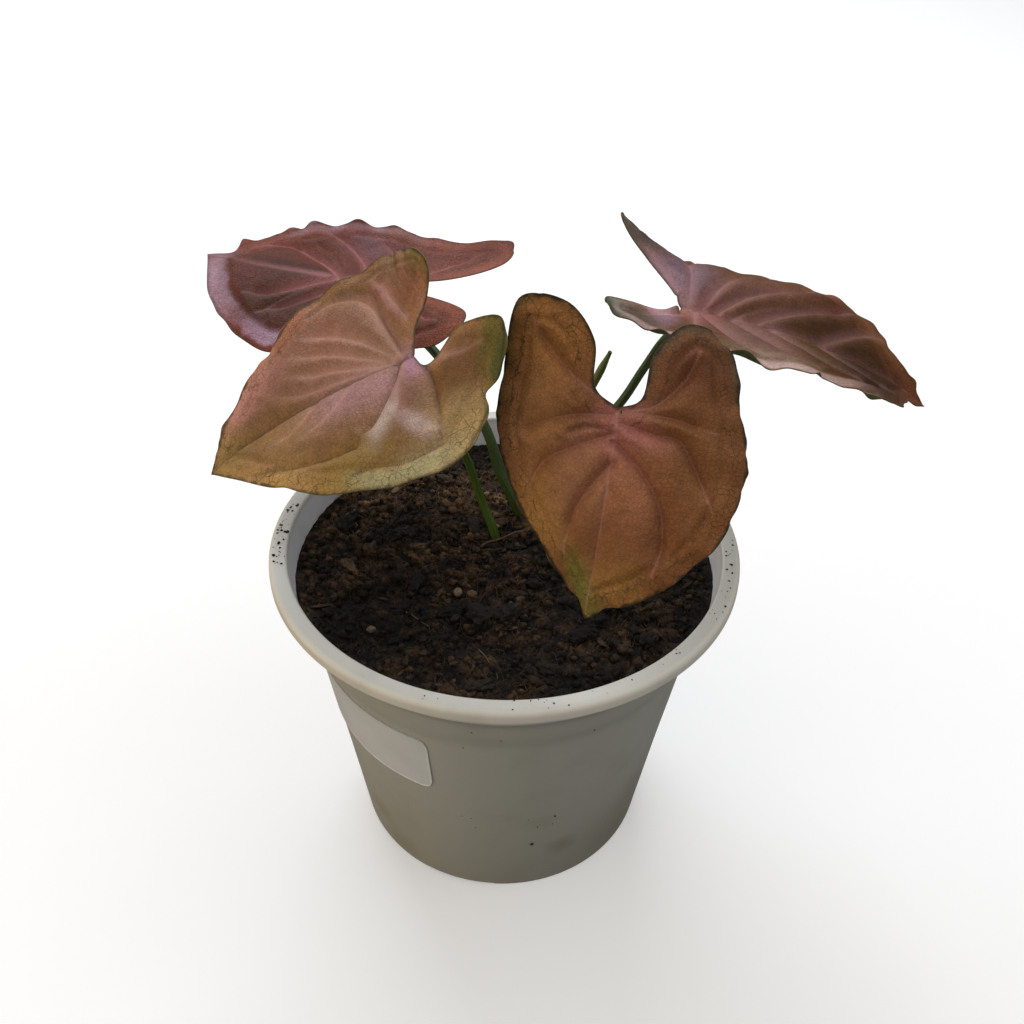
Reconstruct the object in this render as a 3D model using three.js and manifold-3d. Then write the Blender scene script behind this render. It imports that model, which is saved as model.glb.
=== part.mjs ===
import * as THREE from 'three';
import { mergeVertices } from 'three/addons/utils/BufferGeometryUtils.js';
import Module from 'manifold-3d';

// A young arrowhead plant: four pink cordate leaves on long petioles in a white nursery pot.
// Millimetres, +Z up, origin on the pot's axis at the plane of its foot. The front looks along -Y.

const wasm = await Module();
wasm.setup();

// Gap between pieces that touch, and the depth by which cutters pass the faces they cut
const SEAT_GAP = 0.3;
const CUT_MARGIN = 1;

// Pot: a round thin-walled tub, 150 mm over its lip
const POT_HEIGHT = 114.3;
const POT_SEGMENTS = 60;
const POT_WALL = 1.3;
const LIP_RADIUS = 75;
const LIP_DEPTH = 4.1;
const MOUTH_RADIUS = 69;
const LIP_ROUNDING = 1.5;
const FOOT_RADIUS = 50.3;
const FLOOR_RISE = 2.5;
const FLOOR_THICKNESS = 1.5;
const PAD_RADIUS = 23;
const FOOT_RING_INNER = 45;
const DRAIN_HOLES = { count: 6, radius: 4, ring: 34, sides: 16 };
const FOOT_NOTCHES = { count: 4, height: 1, halfAngle: 14, first: -16 };

// Wall as [radius, z] points: the outer face going up, the inner face coming down
const WALL_TOP = { radius: 62.2, z: 82 };
const OUTER_WALL = [
  [FOOT_RADIUS - 0.7, 0], [FOOT_RADIUS, 0.8], [56.2, 43], [WALL_TOP.radius, WALL_TOP.z], [62.9, 86.5],
  [64.8, 92], [65.9, 99], [69, 102.6], [69.8, POT_HEIGHT - POT_WALL],
];
const INNER_WALL = [
  [67.8, 103.6], [64.7, 99.9], [63.5, 92], [61.6, 86.5], [60.9, 82], [54.9, 43], [49.4, 5.5],
  [48, FLOOR_RISE + FLOOR_THICKNESS],
];

// Soil: fills the pot to just under the neck, with a lumpy top
const SOIL_LEVEL = 104;
const SOIL_FLOOR = 4.4;
const SOIL_EDGE = 67.4;
const SOIL_SIDE = [[47.6, SOIL_FLOOR], [49, 6], [60.4, 82], [61.1, 86.5], [63, 92], [64.2, 100]];
const SOIL_SEGMENTS = 48;
const SOIL_RINGS = 12;
const SOIL_LUMPS = { count: 90, height: 2.4, spread: 4.2, reach: 64, beats: [2.4, 0.7] };
const GOLDEN_ANGLE = Math.PI * (3 - Math.sqrt(5));

// Sticker on the wall, left of the front
const LABEL = { width: 58, height: 26.5, corner: 4, rightAzimuth: -20.8, topZ: 83.6, thickness: 0.4 };
const LABEL_COLUMNS = 12;

// Leaves and petioles
const BLADE_THICKNESS = 0.8;
const BLADE_ROWS = [0, 0.3, 0.56, 0.78, 0.91, 1];
const LOBE_COLUMNS = 8;
const BLADE_COLUMNS = 26;
const CREST_STATION = 3.5;
const ABREAST_STATION = 5.5;
const FOLD_SOFTNESS = 1.5;
const HALF_WIDTH_RATIO = 0.58;
const PETIOLE_SIDES = 8;
const PETIOLE_STEPS = 22;
const ROOT_DEPTH = 20;
const HOLE_CLEARANCE = 0.6;
const HOLE_SIDES = 12;
const PETIOLE_RISE = 4.5;
const PETIOLE_TAPER = 0.8;

// Each leaf: place of the petiole's end, the direction of its tip, its bends in degrees, and its
// flat outline, as margin points [across, along] from the sinus round the lobe to beside the tip.
const LEAVES = [
  {
    name: 'back_left', at: [-42.8, 61.1, 172.6], heading: 168, droop: 0.3, roll: -6.4,
    length: 61.5, notch: 1, sweep: 1,
    bends: { fold: [-27, 8], cup: [42, -27], lobe: [-20, -9], arch: -5, twist: -10 },
    waves: [{ height: 1.3, count: 8, phase: 0.4 }, { height: 0.5, count: 6, phase: 0 }],
    right: [
      [6, -6], [9.5, -20], [20, -36], [34.5, -33.5],
      [36, -11], [38.5, 10.5], [32.5, 32], [18, 50],
    ],
    left: [
      [5, -6], [8, -20], [18.5, -34.5], [31, -29.5],
      [37, -10.5], [38.5, 10.5], [34.5, 33.5], [19.5, 52],
    ],
    stem: {
      radius: 1.85, sheath: 2.6, foot: [5, 26],
      path: [[-2.2, 28.5, 121], [-7.6, 32, 136]],
    },
    color: 0x9c6357,
  },
  {
    name: 'front_left', at: [-27.9, -3.9, 182.9], heading: 183.5, droop: 24.5, roll: 5.1,
    length: 72.5, notch: 1.5, sweep: 0.5,
    bends: { fold: [37, -8], cup: [-21, -26], lobe: [-85, -52], arch: 17, twist: -2 },
    waves: [{ height: 0.7, count: 8, phase: 1 }, { height: 0.4, count: 6, phase: 0 }],
    right: [
      [9, -6], [14, -17], [20, -31], [32.5, -27.5],
      [40, -9.5], [39, 10], [34, 31], [17, 55],
    ],
    left: [
      [7, -6], [1.5, -18.5], [19.5, -32.5], [30, -25.5],
      [42.5, -8], [42, 10.5], [34.5, 32.5], [18, 54],
    ],
    stem: {
      radius: 1.45, sheath: 1.7, foot: [-3.5, 14],
      path: [[-8, 15.3, 118], [-13.1, 12.6, 138], [-20.5, 4, 160]],
    },
    color: 0x9a6f4a,
  },
  {
    name: 'front_right', at: [29.5, -30.7, 184.1], heading: -100.2, droop: 54, roll: -3.5,
    length: 57.5, notch: 1, sweep: 2,
    bends: { fold: [-13, -1], cup: [-11, -12], lobe: [-20, 17], arch: 13, twist: 21 },
    waves: [{ height: 0.5, count: 9, phase: 0 }, { height: 0.6, count: 9, phase: 2 }],
    right: [
      [7, -6], [8.5, -18], [17, -27], [30, -26],
      [33.5, -9.5], [35, 9], [28, 28.5], [14.5, 44.5],
    ],
    left: [
      [6, -4.5], [8, -17.5], [17, -27.5], [29, -23.5],
      [32.5, -6.5], [36, 11.5], [31, 31.5], [17.5, 46],
    ],
    stem: {
      radius: 1.5, sheath: 1.9, foot: [15, 21],
      path: [[18, 20.5, 122], [25, 9, 150]],
    },
    color: 0x8f5a3c,
  },
  {
    name: 'back_right', at: [55.7, 37.4, 177.6], heading: -11.9, droop: 2.8, roll: 2,
    length: 81.5, notch: 2, sweep: 0.5,
    bends: { fold: [19, 30], cup: [-2, -79], lobe: [-38, -64], arch: 29, twist: 2 },
    waves: [{ height: 1.1, count: 7, phase: 0 }, { height: 0.9, count: 10, phase: 1 }],
    right: [
      [9, -4.5], [12, -18], [24, -28], [36, -25.5],
      [41, -7.5], [48.5, 13.5], [38.5, 37.5], [23, 63],
    ],
    left: [
      [7, -7.5], [14.5, -19.5], [22, -34.5], [34.5, -27.5],
      [43.5, -7.5], [49.5, 15], [39.5, 38], [18, 59],
    ],
    stem: {
      radius: 1.7, sheath: 2.1, foot: [11.5, 32],
      path: [[18.5, 35, 122], [36, 36, 142], [43.6, 36, 157], [49.4, 36, 168]],
    },
    color: 0x8d5f58,
  },
];

// The next leaf, still rolled in a thin spike
const NEW_LEAF = { radius: 1.2, foot: [11, 39.5], path: [[14.5, 40.5, 120], [27.5, 41, 146], [33, 41, 160]] };

const radians = (degrees) => degrees * Math.PI / 180;

function makeMesh(name, geometry, color, roughness) {
  const material = new THREE.MeshStandardMaterial({ color, roughness, metalness: 0 });
  const mesh = new THREE.Mesh(geometry, material);
  mesh.name = name;
  return mesh;
}

// Vertices shared by position, without the triangles that have lost an edge
function welded(geometry) {
  const bare = geometry.clone();
  bare.deleteAttribute('normal');
  bare.deleteAttribute('uv');
  const merged = mergeVertices(bare, 1e-4);
  const kept = [];
  const index = merged.index.array;
  for (let i = 0; i < index.length; i += 3) {
    const [a, b, c] = [index[i], index[i + 1], index[i + 2]];
    if (a !== b && b !== c && c !== a) {
      kept.push(a, b, c);
    }
  }
  merged.setIndex(kept);
  return merged;
}

function toSolid(geometry) {
  const merged = welded(geometry);
  const vertProperties = new Float32Array(merged.attributes.position.array);
  const triVerts = new Uint32Array(merged.index.array);
  return new wasm.Manifold(new wasm.Mesh({ numProp: 3, vertProperties, triVerts }));
}

function toGeometry(solid) {
  const mesh = solid.getMesh();
  const geometry = new THREE.BufferGeometry();
  geometry.setAttribute('position', new THREE.BufferAttribute(new Float32Array(mesh.vertProperties), 3));
  geometry.setIndex(new THREE.BufferAttribute(new Uint32Array(mesh.triVerts), 1));
  return geometry;
}

// A cylinder standing along Z between two heights
function postSolid(radius, x, y, bottom, top, sides) {
  const post = new THREE.CylinderGeometry(radius, radius, top - bottom, sides);
  post.rotateX(Math.PI / 2);
  post.translate(x, y, (bottom + top) / 2);
  return toSolid(post);
}

// A profile of [radius, z] points turned about Z
function turned(profile, segments) {
  const geometry = new THREE.LatheGeometry(profile.map(([r, z]) => new THREE.Vector2(r, z)), segments);
  geometry.rotateX(Math.PI / 2);
  return geometry;
}

function potProfile() {
  const lipFoot = POT_HEIGHT - LIP_DEPTH;
  const plate = POT_HEIGHT - POT_WALL;
  const foot = [
    [0, 0], [PAD_RADIUS, 0], [PAD_RADIUS + 2, FLOOR_RISE], [FOOT_RING_INNER - 2, FLOOR_RISE],
    [FOOT_RING_INNER, 0],
  ];
  const lip = [
    [LIP_RADIUS - POT_WALL, plate], [LIP_RADIUS - POT_WALL, lipFoot], [LIP_RADIUS - 0.2, lipFoot],
    [LIP_RADIUS, lipFoot + 0.4], [LIP_RADIUS, POT_HEIGHT - LIP_ROUNDING],
    [LIP_RADIUS - 0.4, POT_HEIGHT - 0.5], [LIP_RADIUS - LIP_ROUNDING, POT_HEIGHT],
    [MOUTH_RADIUS + 0.6, POT_HEIGHT], [MOUTH_RADIUS, POT_HEIGHT - 0.5],
  ];
  const floor = [
    [PAD_RADIUS + 3, FLOOR_RISE + FLOOR_THICKNESS], [PAD_RADIUS + 1, FLOOR_THICKNESS], [0, FLOOR_THICKNESS],
  ];
  return [...foot, ...OUTER_WALL, ...lip, ...INNER_WALL, ...floor];
}

function makePot() {
  let solid = toSolid(turned(potProfile(), POT_SEGMENTS));
  for (let i = 0; i < DRAIN_HOLES.count; i += 1) {
    const angle = 2 * Math.PI * i / DRAIN_HOLES.count;
    const [x, y] = [DRAIN_HOLES.ring * Math.cos(angle), DRAIN_HOLES.ring * Math.sin(angle)];
    const top = FLOOR_RISE + FLOOR_THICKNESS + CUT_MARGIN;
    const bottom = FLOOR_RISE - CUT_MARGIN;
    solid = solid.subtract(postSolid(DRAIN_HOLES.radius, x, y, bottom, top, DRAIN_HOLES.sides));
  }
  const width = 2 * FOOT_RADIUS * Math.sin(radians(FOOT_NOTCHES.halfAngle));
  const depth = FOOT_RADIUS - FOOT_RING_INNER + 4 * CUT_MARGIN;
  for (let i = 0; i < FOOT_NOTCHES.count; i += 1) {
    const notch = new THREE.BoxGeometry(width, depth, FOOT_NOTCHES.height + CUT_MARGIN);
    notch.translate(0, depth / 2 - FOOT_RADIUS - CUT_MARGIN, (FOOT_NOTCHES.height - CUT_MARGIN) / 2);
    notch.rotateZ(radians(FOOT_NOTCHES.first + 360 * i / FOOT_NOTCHES.count));
    solid = solid.subtract(toSolid(notch));
  }
  return makeMesh('pot', toGeometry(solid), 0xd9d5c8, 0.45);
}

// Height of the soil's lumps: bumps and dips laid out on a sunflower spiral
function soilLump(x, y) {
  const [beat, slowBeat] = SOIL_LUMPS.beats;
  let height = 0;
  for (let i = 0; i < SOIL_LUMPS.count; i += 1) {
    const reach = SOIL_LUMPS.reach * Math.sqrt((i + 0.5) / SOIL_LUMPS.count);
    const dx = x - reach * Math.cos(i * GOLDEN_ANGLE);
    const dy = y - reach * Math.sin(i * GOLDEN_ANGLE);
    const size = SOIL_LUMPS.height * Math.sin(i * beat + 1) * Math.cos(i * slowBeat);
    height += size * Math.exp(-(dx * dx + dy * dy) / (2 * SOIL_LUMPS.spread ** 2));
  }
  return height;
}

function makeSoil() {
  const top = [];
  for (let i = 0; i <= SOIL_RINGS; i += 1) {
    top.push([SOIL_EDGE * (1 - i / SOIL_RINGS), SOIL_LEVEL]);
  }
  const geometry = welded(turned([[0, SOIL_FLOOR], ...SOIL_SIDE, ...top], SOIL_SEGMENTS));
  const points = geometry.attributes.position;
  for (let i = 0; i < points.count; i += 1) {
    if (points.getZ(i) > SOIL_LEVEL - 0.01) {
      const [x, y] = [points.getX(i), points.getY(i)];
      const fade = 1 - (Math.hypot(x, y) / SOIL_EDGE) ** 6;
      points.setZ(i, SOIL_LEVEL + fade * soilLump(x, y));
    }
  }
  let solid = toSolid(geometry);
  const stems = [...LEAVES.map((leaf) => leaf.stem), NEW_LEAF];
  for (const stem of stems) {
    const radius = (stem.sheath ?? stem.radius) + HOLE_CLEARANCE;
    const bottom = SOIL_LEVEL - ROOT_DEPTH - SEAT_GAP;
    const hole = postSolid(radius, ...stem.foot, bottom, SOIL_LEVEL + 2 * SOIL_LUMPS.height, HOLE_SIDES);
    solid = solid.subtract(hole);
  }
  return makeMesh('soil', toGeometry(solid), 0x2a1d16, 0.95);
}

// Triangles of a surface given as rows of points, all rows equally long
function gridTriangles(rows, flip) {
  const positions = [];
  for (let i = 0; i < rows.length - 1; i += 1) {
    for (let j = 0; j < rows[i].length - 1; j += 1) {
      const [a, b, c, d] = [rows[i][j], rows[i + 1][j], rows[i + 1][j + 1], rows[i][j + 1]];
      const corners = flip ? [a, c, b, a, d, c] : [a, b, c, a, c, d];
      for (const corner of corners) {
        positions.push(corner.x, corner.y, corner.z);
      }
    }
  }
  return positions;
}

// An open surface made into a closed sheet, both faces split alike
function thicken(positions, thickness) {
  const open = new THREE.BufferGeometry();
  open.setAttribute('position', new THREE.Float32BufferAttribute(positions, 3));
  const surface = welded(open);
  surface.computeVertexNormals();
  const points = surface.attributes.position;
  const normals = surface.attributes.normal;
  const sheet = [];
  for (const side of [0.5, -0.5]) {
    for (let i = 0; i < points.count; i += 1) {
      const shift = side * thickness;
      sheet.push(points.getX(i) + shift * normals.getX(i), points.getY(i) + shift * normals.getY(i));
      sheet.push(points.getZ(i) + shift * normals.getZ(i));
    }
  }
  const index = Array.from(surface.index.array);
  const edges = new Set();
  for (let i = 0; i < index.length; i += 3) {
    for (let k = 0; k < 3; k += 1) {
      edges.add(`${index[i + k]},${index[i + (k + 1) % 3]}`);
    }
  }
  const under = points.count;
  const faces = [...index];
  for (let i = 0; i < index.length; i += 3) {
    faces.push(index[i + 2] + under, index[i + 1] + under, index[i] + under);
  }
  for (const edge of edges) {
    const [a, b] = edge.split(',').map(Number);
    if (!edges.has(`${b},${a}`)) {
      faces.push(b, a, a + under, b, a + under, b + under);
    }
  }
  const geometry = new THREE.BufferGeometry();
  geometry.setAttribute('position', new THREE.Float32BufferAttribute(sheet, 3));
  geometry.setIndex(faces);
  return geometry;
}

function wallRadius(z) {
  return THREE.MathUtils.mapLinear(z, 0.8, WALL_TOP.z, FOOT_RADIUS, WALL_TOP.radius);
}

// The sticker follows the wall; its corners are rounded by shortening the end columns
function makeLabel() {
  const columns = [];
  for (let i = 0; i <= LABEL_COLUMNS; i += 1) {
    columns.push(THREE.MathUtils.lerp(LABEL.corner, LABEL.width - LABEL.corner, i / LABEL_COLUMNS));
  }
  for (const part of [0.65, 0.3, 0]) {
    columns.unshift(part * LABEL.corner);
    columns.push(LABEL.width - part * LABEL.corner);
  }
  const rows = columns.map((u) => {
    const inset = Math.max(0, LABEL.corner - Math.min(u, LABEL.width - u));
    const cut = LABEL.corner - Math.sqrt(LABEL.corner ** 2 - inset ** 2);
    return [0, 0.5, 1].map((v) => {
      const z = THREE.MathUtils.lerp(LABEL.topZ - LABEL.height + cut, LABEL.topZ - cut, v);
      const radius = wallRadius(z) + SEAT_GAP + LABEL.thickness / 2;
      const azimuth = radians(LABEL.rightAzimuth) - u / wallRadius(LABEL.topZ - LABEL.height / 2);
      return new THREE.Vector3(radius * Math.sin(azimuth), -radius * Math.cos(azimuth), z);
    });
  });
  return makeMesh('label', thicken(gridTriangles(rows, true), LABEL.thickness), 0xe2dfd6, 0.4);
}

// Point on a smooth curve through flat points, at a station counted in points
function splinePoint(points, station) {
  const last = points.length - 1;
  const first = Math.min(Math.floor(station), last - 1);
  const t = station - first;
  const pick = (i) => {
    if (i < 0) {
      return points[0].clone().multiplyScalar(2).sub(points[1]);
    }
    if (i > last) {
      return points[last].clone().multiplyScalar(2).sub(points[last - 1]);
    }
    return points[i];
  };
  const [a, b, c, d] = [pick(first - 1), pick(first), pick(first + 1), pick(first + 2)];
  const curve = (p, q, r, s) => 0.5 * (2 * q + (r - p) * t + (2 * p - 5 * q + 4 * r - s) * t * t
    + (3 * q - p - 3 * r + s) * t ** 3);
  return new THREE.Vector2(curve(a.x, b.x, c.x, d.x), curve(a.y, b.y, c.y, d.y));
}

// Distance along and rise after travelling an arc that starts at an angle and turns steadily
function arcTravel(distance, start, turn) {
  const rate = Math.abs(turn) < 1e-7 ? 1e-7 : turn;
  const end = start + rate * distance;
  return [(Math.sin(end) - Math.sin(start)) / rate, (Math.cos(start) - Math.cos(end)) / rate];
}

// A flat leaf point [across, along] bent into space, in the leaf's own frame
function bentPoint(leaf, x, y, lift) {
  const { fold, cup, lobe, arch, twist } = leaf.bends;
  const rightness = 0.5 * (1 + Math.tanh(x / FOLD_SOFTNESS));
  const mix = (pair) => radians(pair[0] * rightness + pair[1] * (1 - rightness));
  const [across, rise] = arcTravel(Math.abs(x), mix(fold), mix(cup) / (HALF_WIDTH_RATIO * leaf.length));
  const turn = radians(twist) * y / leaf.length;
  const height = rise + lift;
  const side = Math.sign(x) * across;
  const sideways = side * Math.cos(turn) + height * Math.sin(turn);
  const upright = height * Math.cos(turn) - side * Math.sin(turn);
  const bend = y > 0 ? radians(arch) / leaf.length : mix(lobe) / (0.5 * leaf.length);
  const [along, drop] = arcTravel(Math.abs(y), 0, -bend);
  const tilt = -bend * Math.abs(y);
  const forward = along - Math.sin(tilt) * upright;
  return new THREE.Vector3(sideways, y > 0 ? forward : -forward, drop + Math.cos(tilt) * upright);
}

// The leaf's axes: X to its right, Y to its tip, Z out of its upper face
function leafMatrix(leaf) {
  const [heading, droop, roll] = [leaf.heading, leaf.droop, leaf.roll].map(radians);
  const tip = new THREE.Vector3(
    Math.cos(droop) * Math.cos(heading), Math.cos(droop) * Math.sin(heading), -Math.sin(droop));
  const level = new THREE.Vector3(Math.sin(heading), -Math.cos(heading), 0);
  const face = new THREE.Vector3().crossVectors(level, tip);
  const right = level.clone().multiplyScalar(Math.cos(roll)).addScaledVector(face, -Math.sin(roll));
  const up = level.clone().multiplyScalar(Math.sin(roll)).addScaledVector(face, Math.cos(roll));
  return new THREE.Matrix4().makeBasis(right, tip, up).setPosition(...leaf.at);
}

// One half of a blade as rows of points: each row runs from the midrib, or in the lobe from the
// sinus edge, out to the margin
function halfBlade(leaf, sign) {
  const half = sign > 0 ? leaf.right : leaf.left;
  const wave = leaf.waves[sign > 0 ? 0 : 1];
  const outline = [[0, -leaf.notch], ...half.map(([x, y]) => [sign * x, y]), [leaf.sweep, leaf.length]];
  const points = outline.map(([x, y]) => new THREE.Vector2(x, y));
  const lastStation = points.length - 1;
  const matrix = leafMatrix(leaf);
  const rows = [];
  const total = LOBE_COLUMNS + BLADE_COLUMNS;
  for (let i = 0; i <= total; i += 1) {
    const inLobe = i < LOBE_COLUMNS;
    const t = inLobe ? i / LOBE_COLUMNS : (i - LOBE_COLUMNS) / BLADE_COLUMNS;
    const station = inLobe ? THREE.MathUtils.lerp(CREST_STATION, ABREAST_STATION, t)
      : THREE.MathUtils.lerp(ABREAST_STATION, lastStation, t);
    const outer = splinePoint(points, station);
    const along = THREE.MathUtils.lerp(-leaf.notch, leaf.length, t);
    const midrib = new THREE.Vector2(leaf.sweep * (Math.max(along, 0) / leaf.length) ** 2, along);
    const inner = inLobe ? splinePoint(points, CREST_STATION * (1 - t)) : midrib;
    const travel = (station - CREST_STATION) / (lastStation - CREST_STATION);
    const calm = Math.sin(Math.PI * travel) ** 0.5;
    const ripple = wave.height * calm * Math.sin(2 * Math.PI * wave.count * travel + wave.phase);
    rows.push(BLADE_ROWS.map((v) => {
      const flat = inner.clone().lerp(outer, v);
      return bentPoint(leaf, flat.x, flat.y, ripple * v ** 4).applyMatrix4(matrix);
    }));
  }
  return rows;
}

function makeBlade(leaf) {
  const positions = [
    ...gridTriangles(halfBlade(leaf, 1), true),
    ...gridTriangles(halfBlade(leaf, -1), false),
  ];
  return makeMesh(`leaf_${leaf.name}`, thicken(positions, BLADE_THICKNESS), leaf.color, 0.5);
}

// A round stem along a curve, its radius given along the way, closed at both ends
function stemGeometry(curve, radiusAt, steps) {
  const frames = curve.computeFrenetFrames(steps, false);
  const rings = [];
  for (let i = 0; i <= steps; i += 1) {
    const centre = curve.getPointAt(i / steps);
    const ring = [];
    for (let j = 0; j <= PETIOLE_SIDES; j += 1) {
      const angle = 2 * Math.PI * (j % PETIOLE_SIDES) / PETIOLE_SIDES;
      const radius = radiusAt(i / steps);
      ring.push(centre.clone()
        .addScaledVector(frames.normals[i], radius * Math.cos(angle))
        .addScaledVector(frames.binormals[i], radius * Math.sin(angle)));
    }
    rings.push(ring);
  }
  const cap = (point) => Array.from({ length: PETIOLE_SIDES + 1 }, () => point.clone());
  const rows = [cap(curve.getPointAt(0)), ...rings, cap(curve.getPointAt(1))];
  const geometry = new THREE.BufferGeometry();
  geometry.setAttribute('position', new THREE.Float32BufferAttribute(gridTriangles(rows, true), 3));
  return welded(geometry);
}

function footPoints(foot) {
  const depths = [SOIL_LEVEL - ROOT_DEPTH, SOIL_LEVEL - ROOT_DEPTH / 2, SOIL_LEVEL + 0.5];
  return depths.map((z) => new THREE.Vector3(...foot, z));
}

// The petiole meets the blade square to the middle of its two halves, just under its face
function makePetiole(leaf) {
  const { radius, sheath } = leaf.stem;
  const [right, left] = leaf.bends.fold.map(radians);
  const lean = (right - left) / 2;
  const hollow = Math.max(0, -(right + left) / 2);
  const reach = BLADE_THICKNESS / 2 + SEAT_GAP + radius * Math.tan(hollow);
  const matrix = leafMatrix(leaf);
  const below = (distance) => new THREE.Vector3(Math.sin(lean) * distance, 0, -Math.cos(lean) * distance)
    .applyMatrix4(matrix);
  const way = leaf.stem.path.map((point) => new THREE.Vector3(...point));
  const points = [...footPoints(leaf.stem.foot), ...way, below(PETIOLE_RISE), below(reach)];
  const curve = new THREE.CatmullRomCurve3(points, false, 'centripetal');
  const radiusAt = (t) => radius * THREE.MathUtils.lerp(1, PETIOLE_TAPER, t)
    + (sheath - radius) * (1 - THREE.MathUtils.smoothstep(t, 0.2, 0.45));
  return makeMesh(`petiole_${leaf.name}`, stemGeometry(curve, radiusAt, PETIOLE_STEPS), 0x2f4a1c, 0.5);
}

function makeNewLeaf() {
  const way = NEW_LEAF.path.map((point) => new THREE.Vector3(...point));
  const curve = new THREE.CatmullRomCurve3([...footPoints(NEW_LEAF.foot), ...way], false, 'centripetal');
  const radiusAt = (t) => NEW_LEAF.radius * (1 - 0.75 * THREE.MathUtils.smoothstep(t, 0.8, 1));
  return makeMesh('new_leaf', stemGeometry(curve, radiusAt, PETIOLE_STEPS), 0x4f6b2a, 0.5);
}

const plant = new THREE.Group();
plant.add(makePot(), makeSoil(), makeLabel());
for (const leaf of LEAVES) {
  plant.add(makeBlade(leaf), makePetiole(leaf));
}
plant.add(makeNewLeaf());

export default plant;
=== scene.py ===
"""Looks of a young pink arrowhead plant in a white nursery pot.

Lengths are millimetres until a mesh is made; the frame itself is in metres.
"""
import math

import bpy
import numpy as np
from mathutils import Matrix, Vector, noise


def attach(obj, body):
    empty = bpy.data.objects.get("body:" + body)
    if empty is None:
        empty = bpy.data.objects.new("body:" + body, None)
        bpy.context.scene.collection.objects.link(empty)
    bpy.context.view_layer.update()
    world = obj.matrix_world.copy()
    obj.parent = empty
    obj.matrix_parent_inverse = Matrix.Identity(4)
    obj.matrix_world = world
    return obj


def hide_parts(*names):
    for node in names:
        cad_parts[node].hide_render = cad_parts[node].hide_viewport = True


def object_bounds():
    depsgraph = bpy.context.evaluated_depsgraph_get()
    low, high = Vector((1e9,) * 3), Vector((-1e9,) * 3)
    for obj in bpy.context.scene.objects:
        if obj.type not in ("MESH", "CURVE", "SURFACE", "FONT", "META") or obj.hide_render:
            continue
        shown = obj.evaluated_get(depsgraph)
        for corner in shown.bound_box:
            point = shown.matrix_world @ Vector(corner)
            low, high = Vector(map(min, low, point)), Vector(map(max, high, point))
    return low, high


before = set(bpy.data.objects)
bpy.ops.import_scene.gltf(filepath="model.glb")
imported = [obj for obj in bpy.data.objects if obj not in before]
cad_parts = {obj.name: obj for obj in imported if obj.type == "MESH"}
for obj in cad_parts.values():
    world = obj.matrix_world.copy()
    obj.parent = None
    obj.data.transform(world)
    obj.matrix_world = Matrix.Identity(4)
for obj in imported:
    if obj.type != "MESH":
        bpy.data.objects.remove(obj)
cad_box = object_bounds()

MM = 0.001
BODY = "root"

# Camera: place, pitch and roll of the photograph, its lens and the width of its sensor
CAMERA_AT = (2.08, -297.04, 359.75)
CAMERA_PITCH = math.radians(38.28)
CAMERA_ROLL = math.radians(1.15)
CAMERA_LENS = 42.1875
CAMERA_SENSOR = 36

# Pot
POT_HEIGHT = 114.3
POT_WALL = 1.3
LIP_RADIUS = 75.0
LIP_DEPTH = 4.1
MOUTH_RADIUS = 69.0
FOOT_RADIUS = 50.3
FOOT_EDGE = 0.8
FLOOR_RISE = 2.5
FLOOR_THICKNESS = 1.5
PAD_RADIUS = 23.0
FOOT_RING_INNER = 45.0
POT_SEGMENTS = 240
CORNER_STEPS = 7
# The wall's corners as (radius, z, rounding): its outer face going up, its inner face coming down
WALL_TOP = (62.2, 82.0)
OUTER_WALL = [(56.2, 43, 8), (*WALL_TOP, 2), (62.9, 86.5, 3), (64.8, 92, 3), (65.9, 99, 3), (69, 102.6, 3)]
INNER_WALL = [
    (67.8, 103.6, 3), (64.7, 99.9, 3), (63.5, 92, 3), (61.6, 86.5, 3), (60.9, 82, 3), (54.9, 43, 6),
    (49.4, 5.5, 1.5),
]
DRAIN_HOLES = dict(count=6, radius=4.0, ring=34.0, sides=32, cut=8.0, middle=3.0)
FOOT_NOTCHES = dict(count=4, height=1.0, half_angle=14.0, first=-16.0)

# Colours of the pot's plastic, and where its zones begin and are full, in metres. The neck's inner face
# is where the radius less the cone's slope times the height is under the cone's values.
# The rim's lighter top, the pale bluish inside of the neck and the beige outer edge of the lip are painted
# light: light falling on the top, light glowing through the thin plastic, and a highlight on the lip's
# rounding.
PLASTIC = dict(
    light=(0.565, 0.57, 0.505), dark=(0.505, 0.51, 0.445), rim=(0.66, 0.65, 0.59),
    inside=(0.90, 0.90, 0.95), outer_edge_highlight=(0.86, 0.82, 0.72), foot=(0.42, 0.40, 0.33),
    smudge=(0.36, 0.33, 0.27), stain=(0.30, 0.24, 0.15))
ZONES = dict(
    foot=(0.06, 0.0), cone=(-0.0196, -0.0199), mouth=(0.0692, 0.0689), neck=(0.096, 0.099),
    lip_side=(0.0732, 0.0748), lip_height=(0.1095, 0.1105))
CONE_SLOPE = 0.86
# The rim's top, painted lighter as painted light where light falls on it: its zone, as depths under the pot's
# top in millimetres
RIM_ZONE = (3.5, 1.0)

# Sticker on the wall, left of the front
LABEL = dict(
    width=58.0, height=26.5, corner=4.0, right_azimuth=-20.8, top_z=83.6, thickness=0.2, gap=0.12,
    columns=60, rows=24)
PAPER = dict(light=(0.87, 0.90, 0.91), dark=(0.80, 0.83, 0.83))

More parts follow.
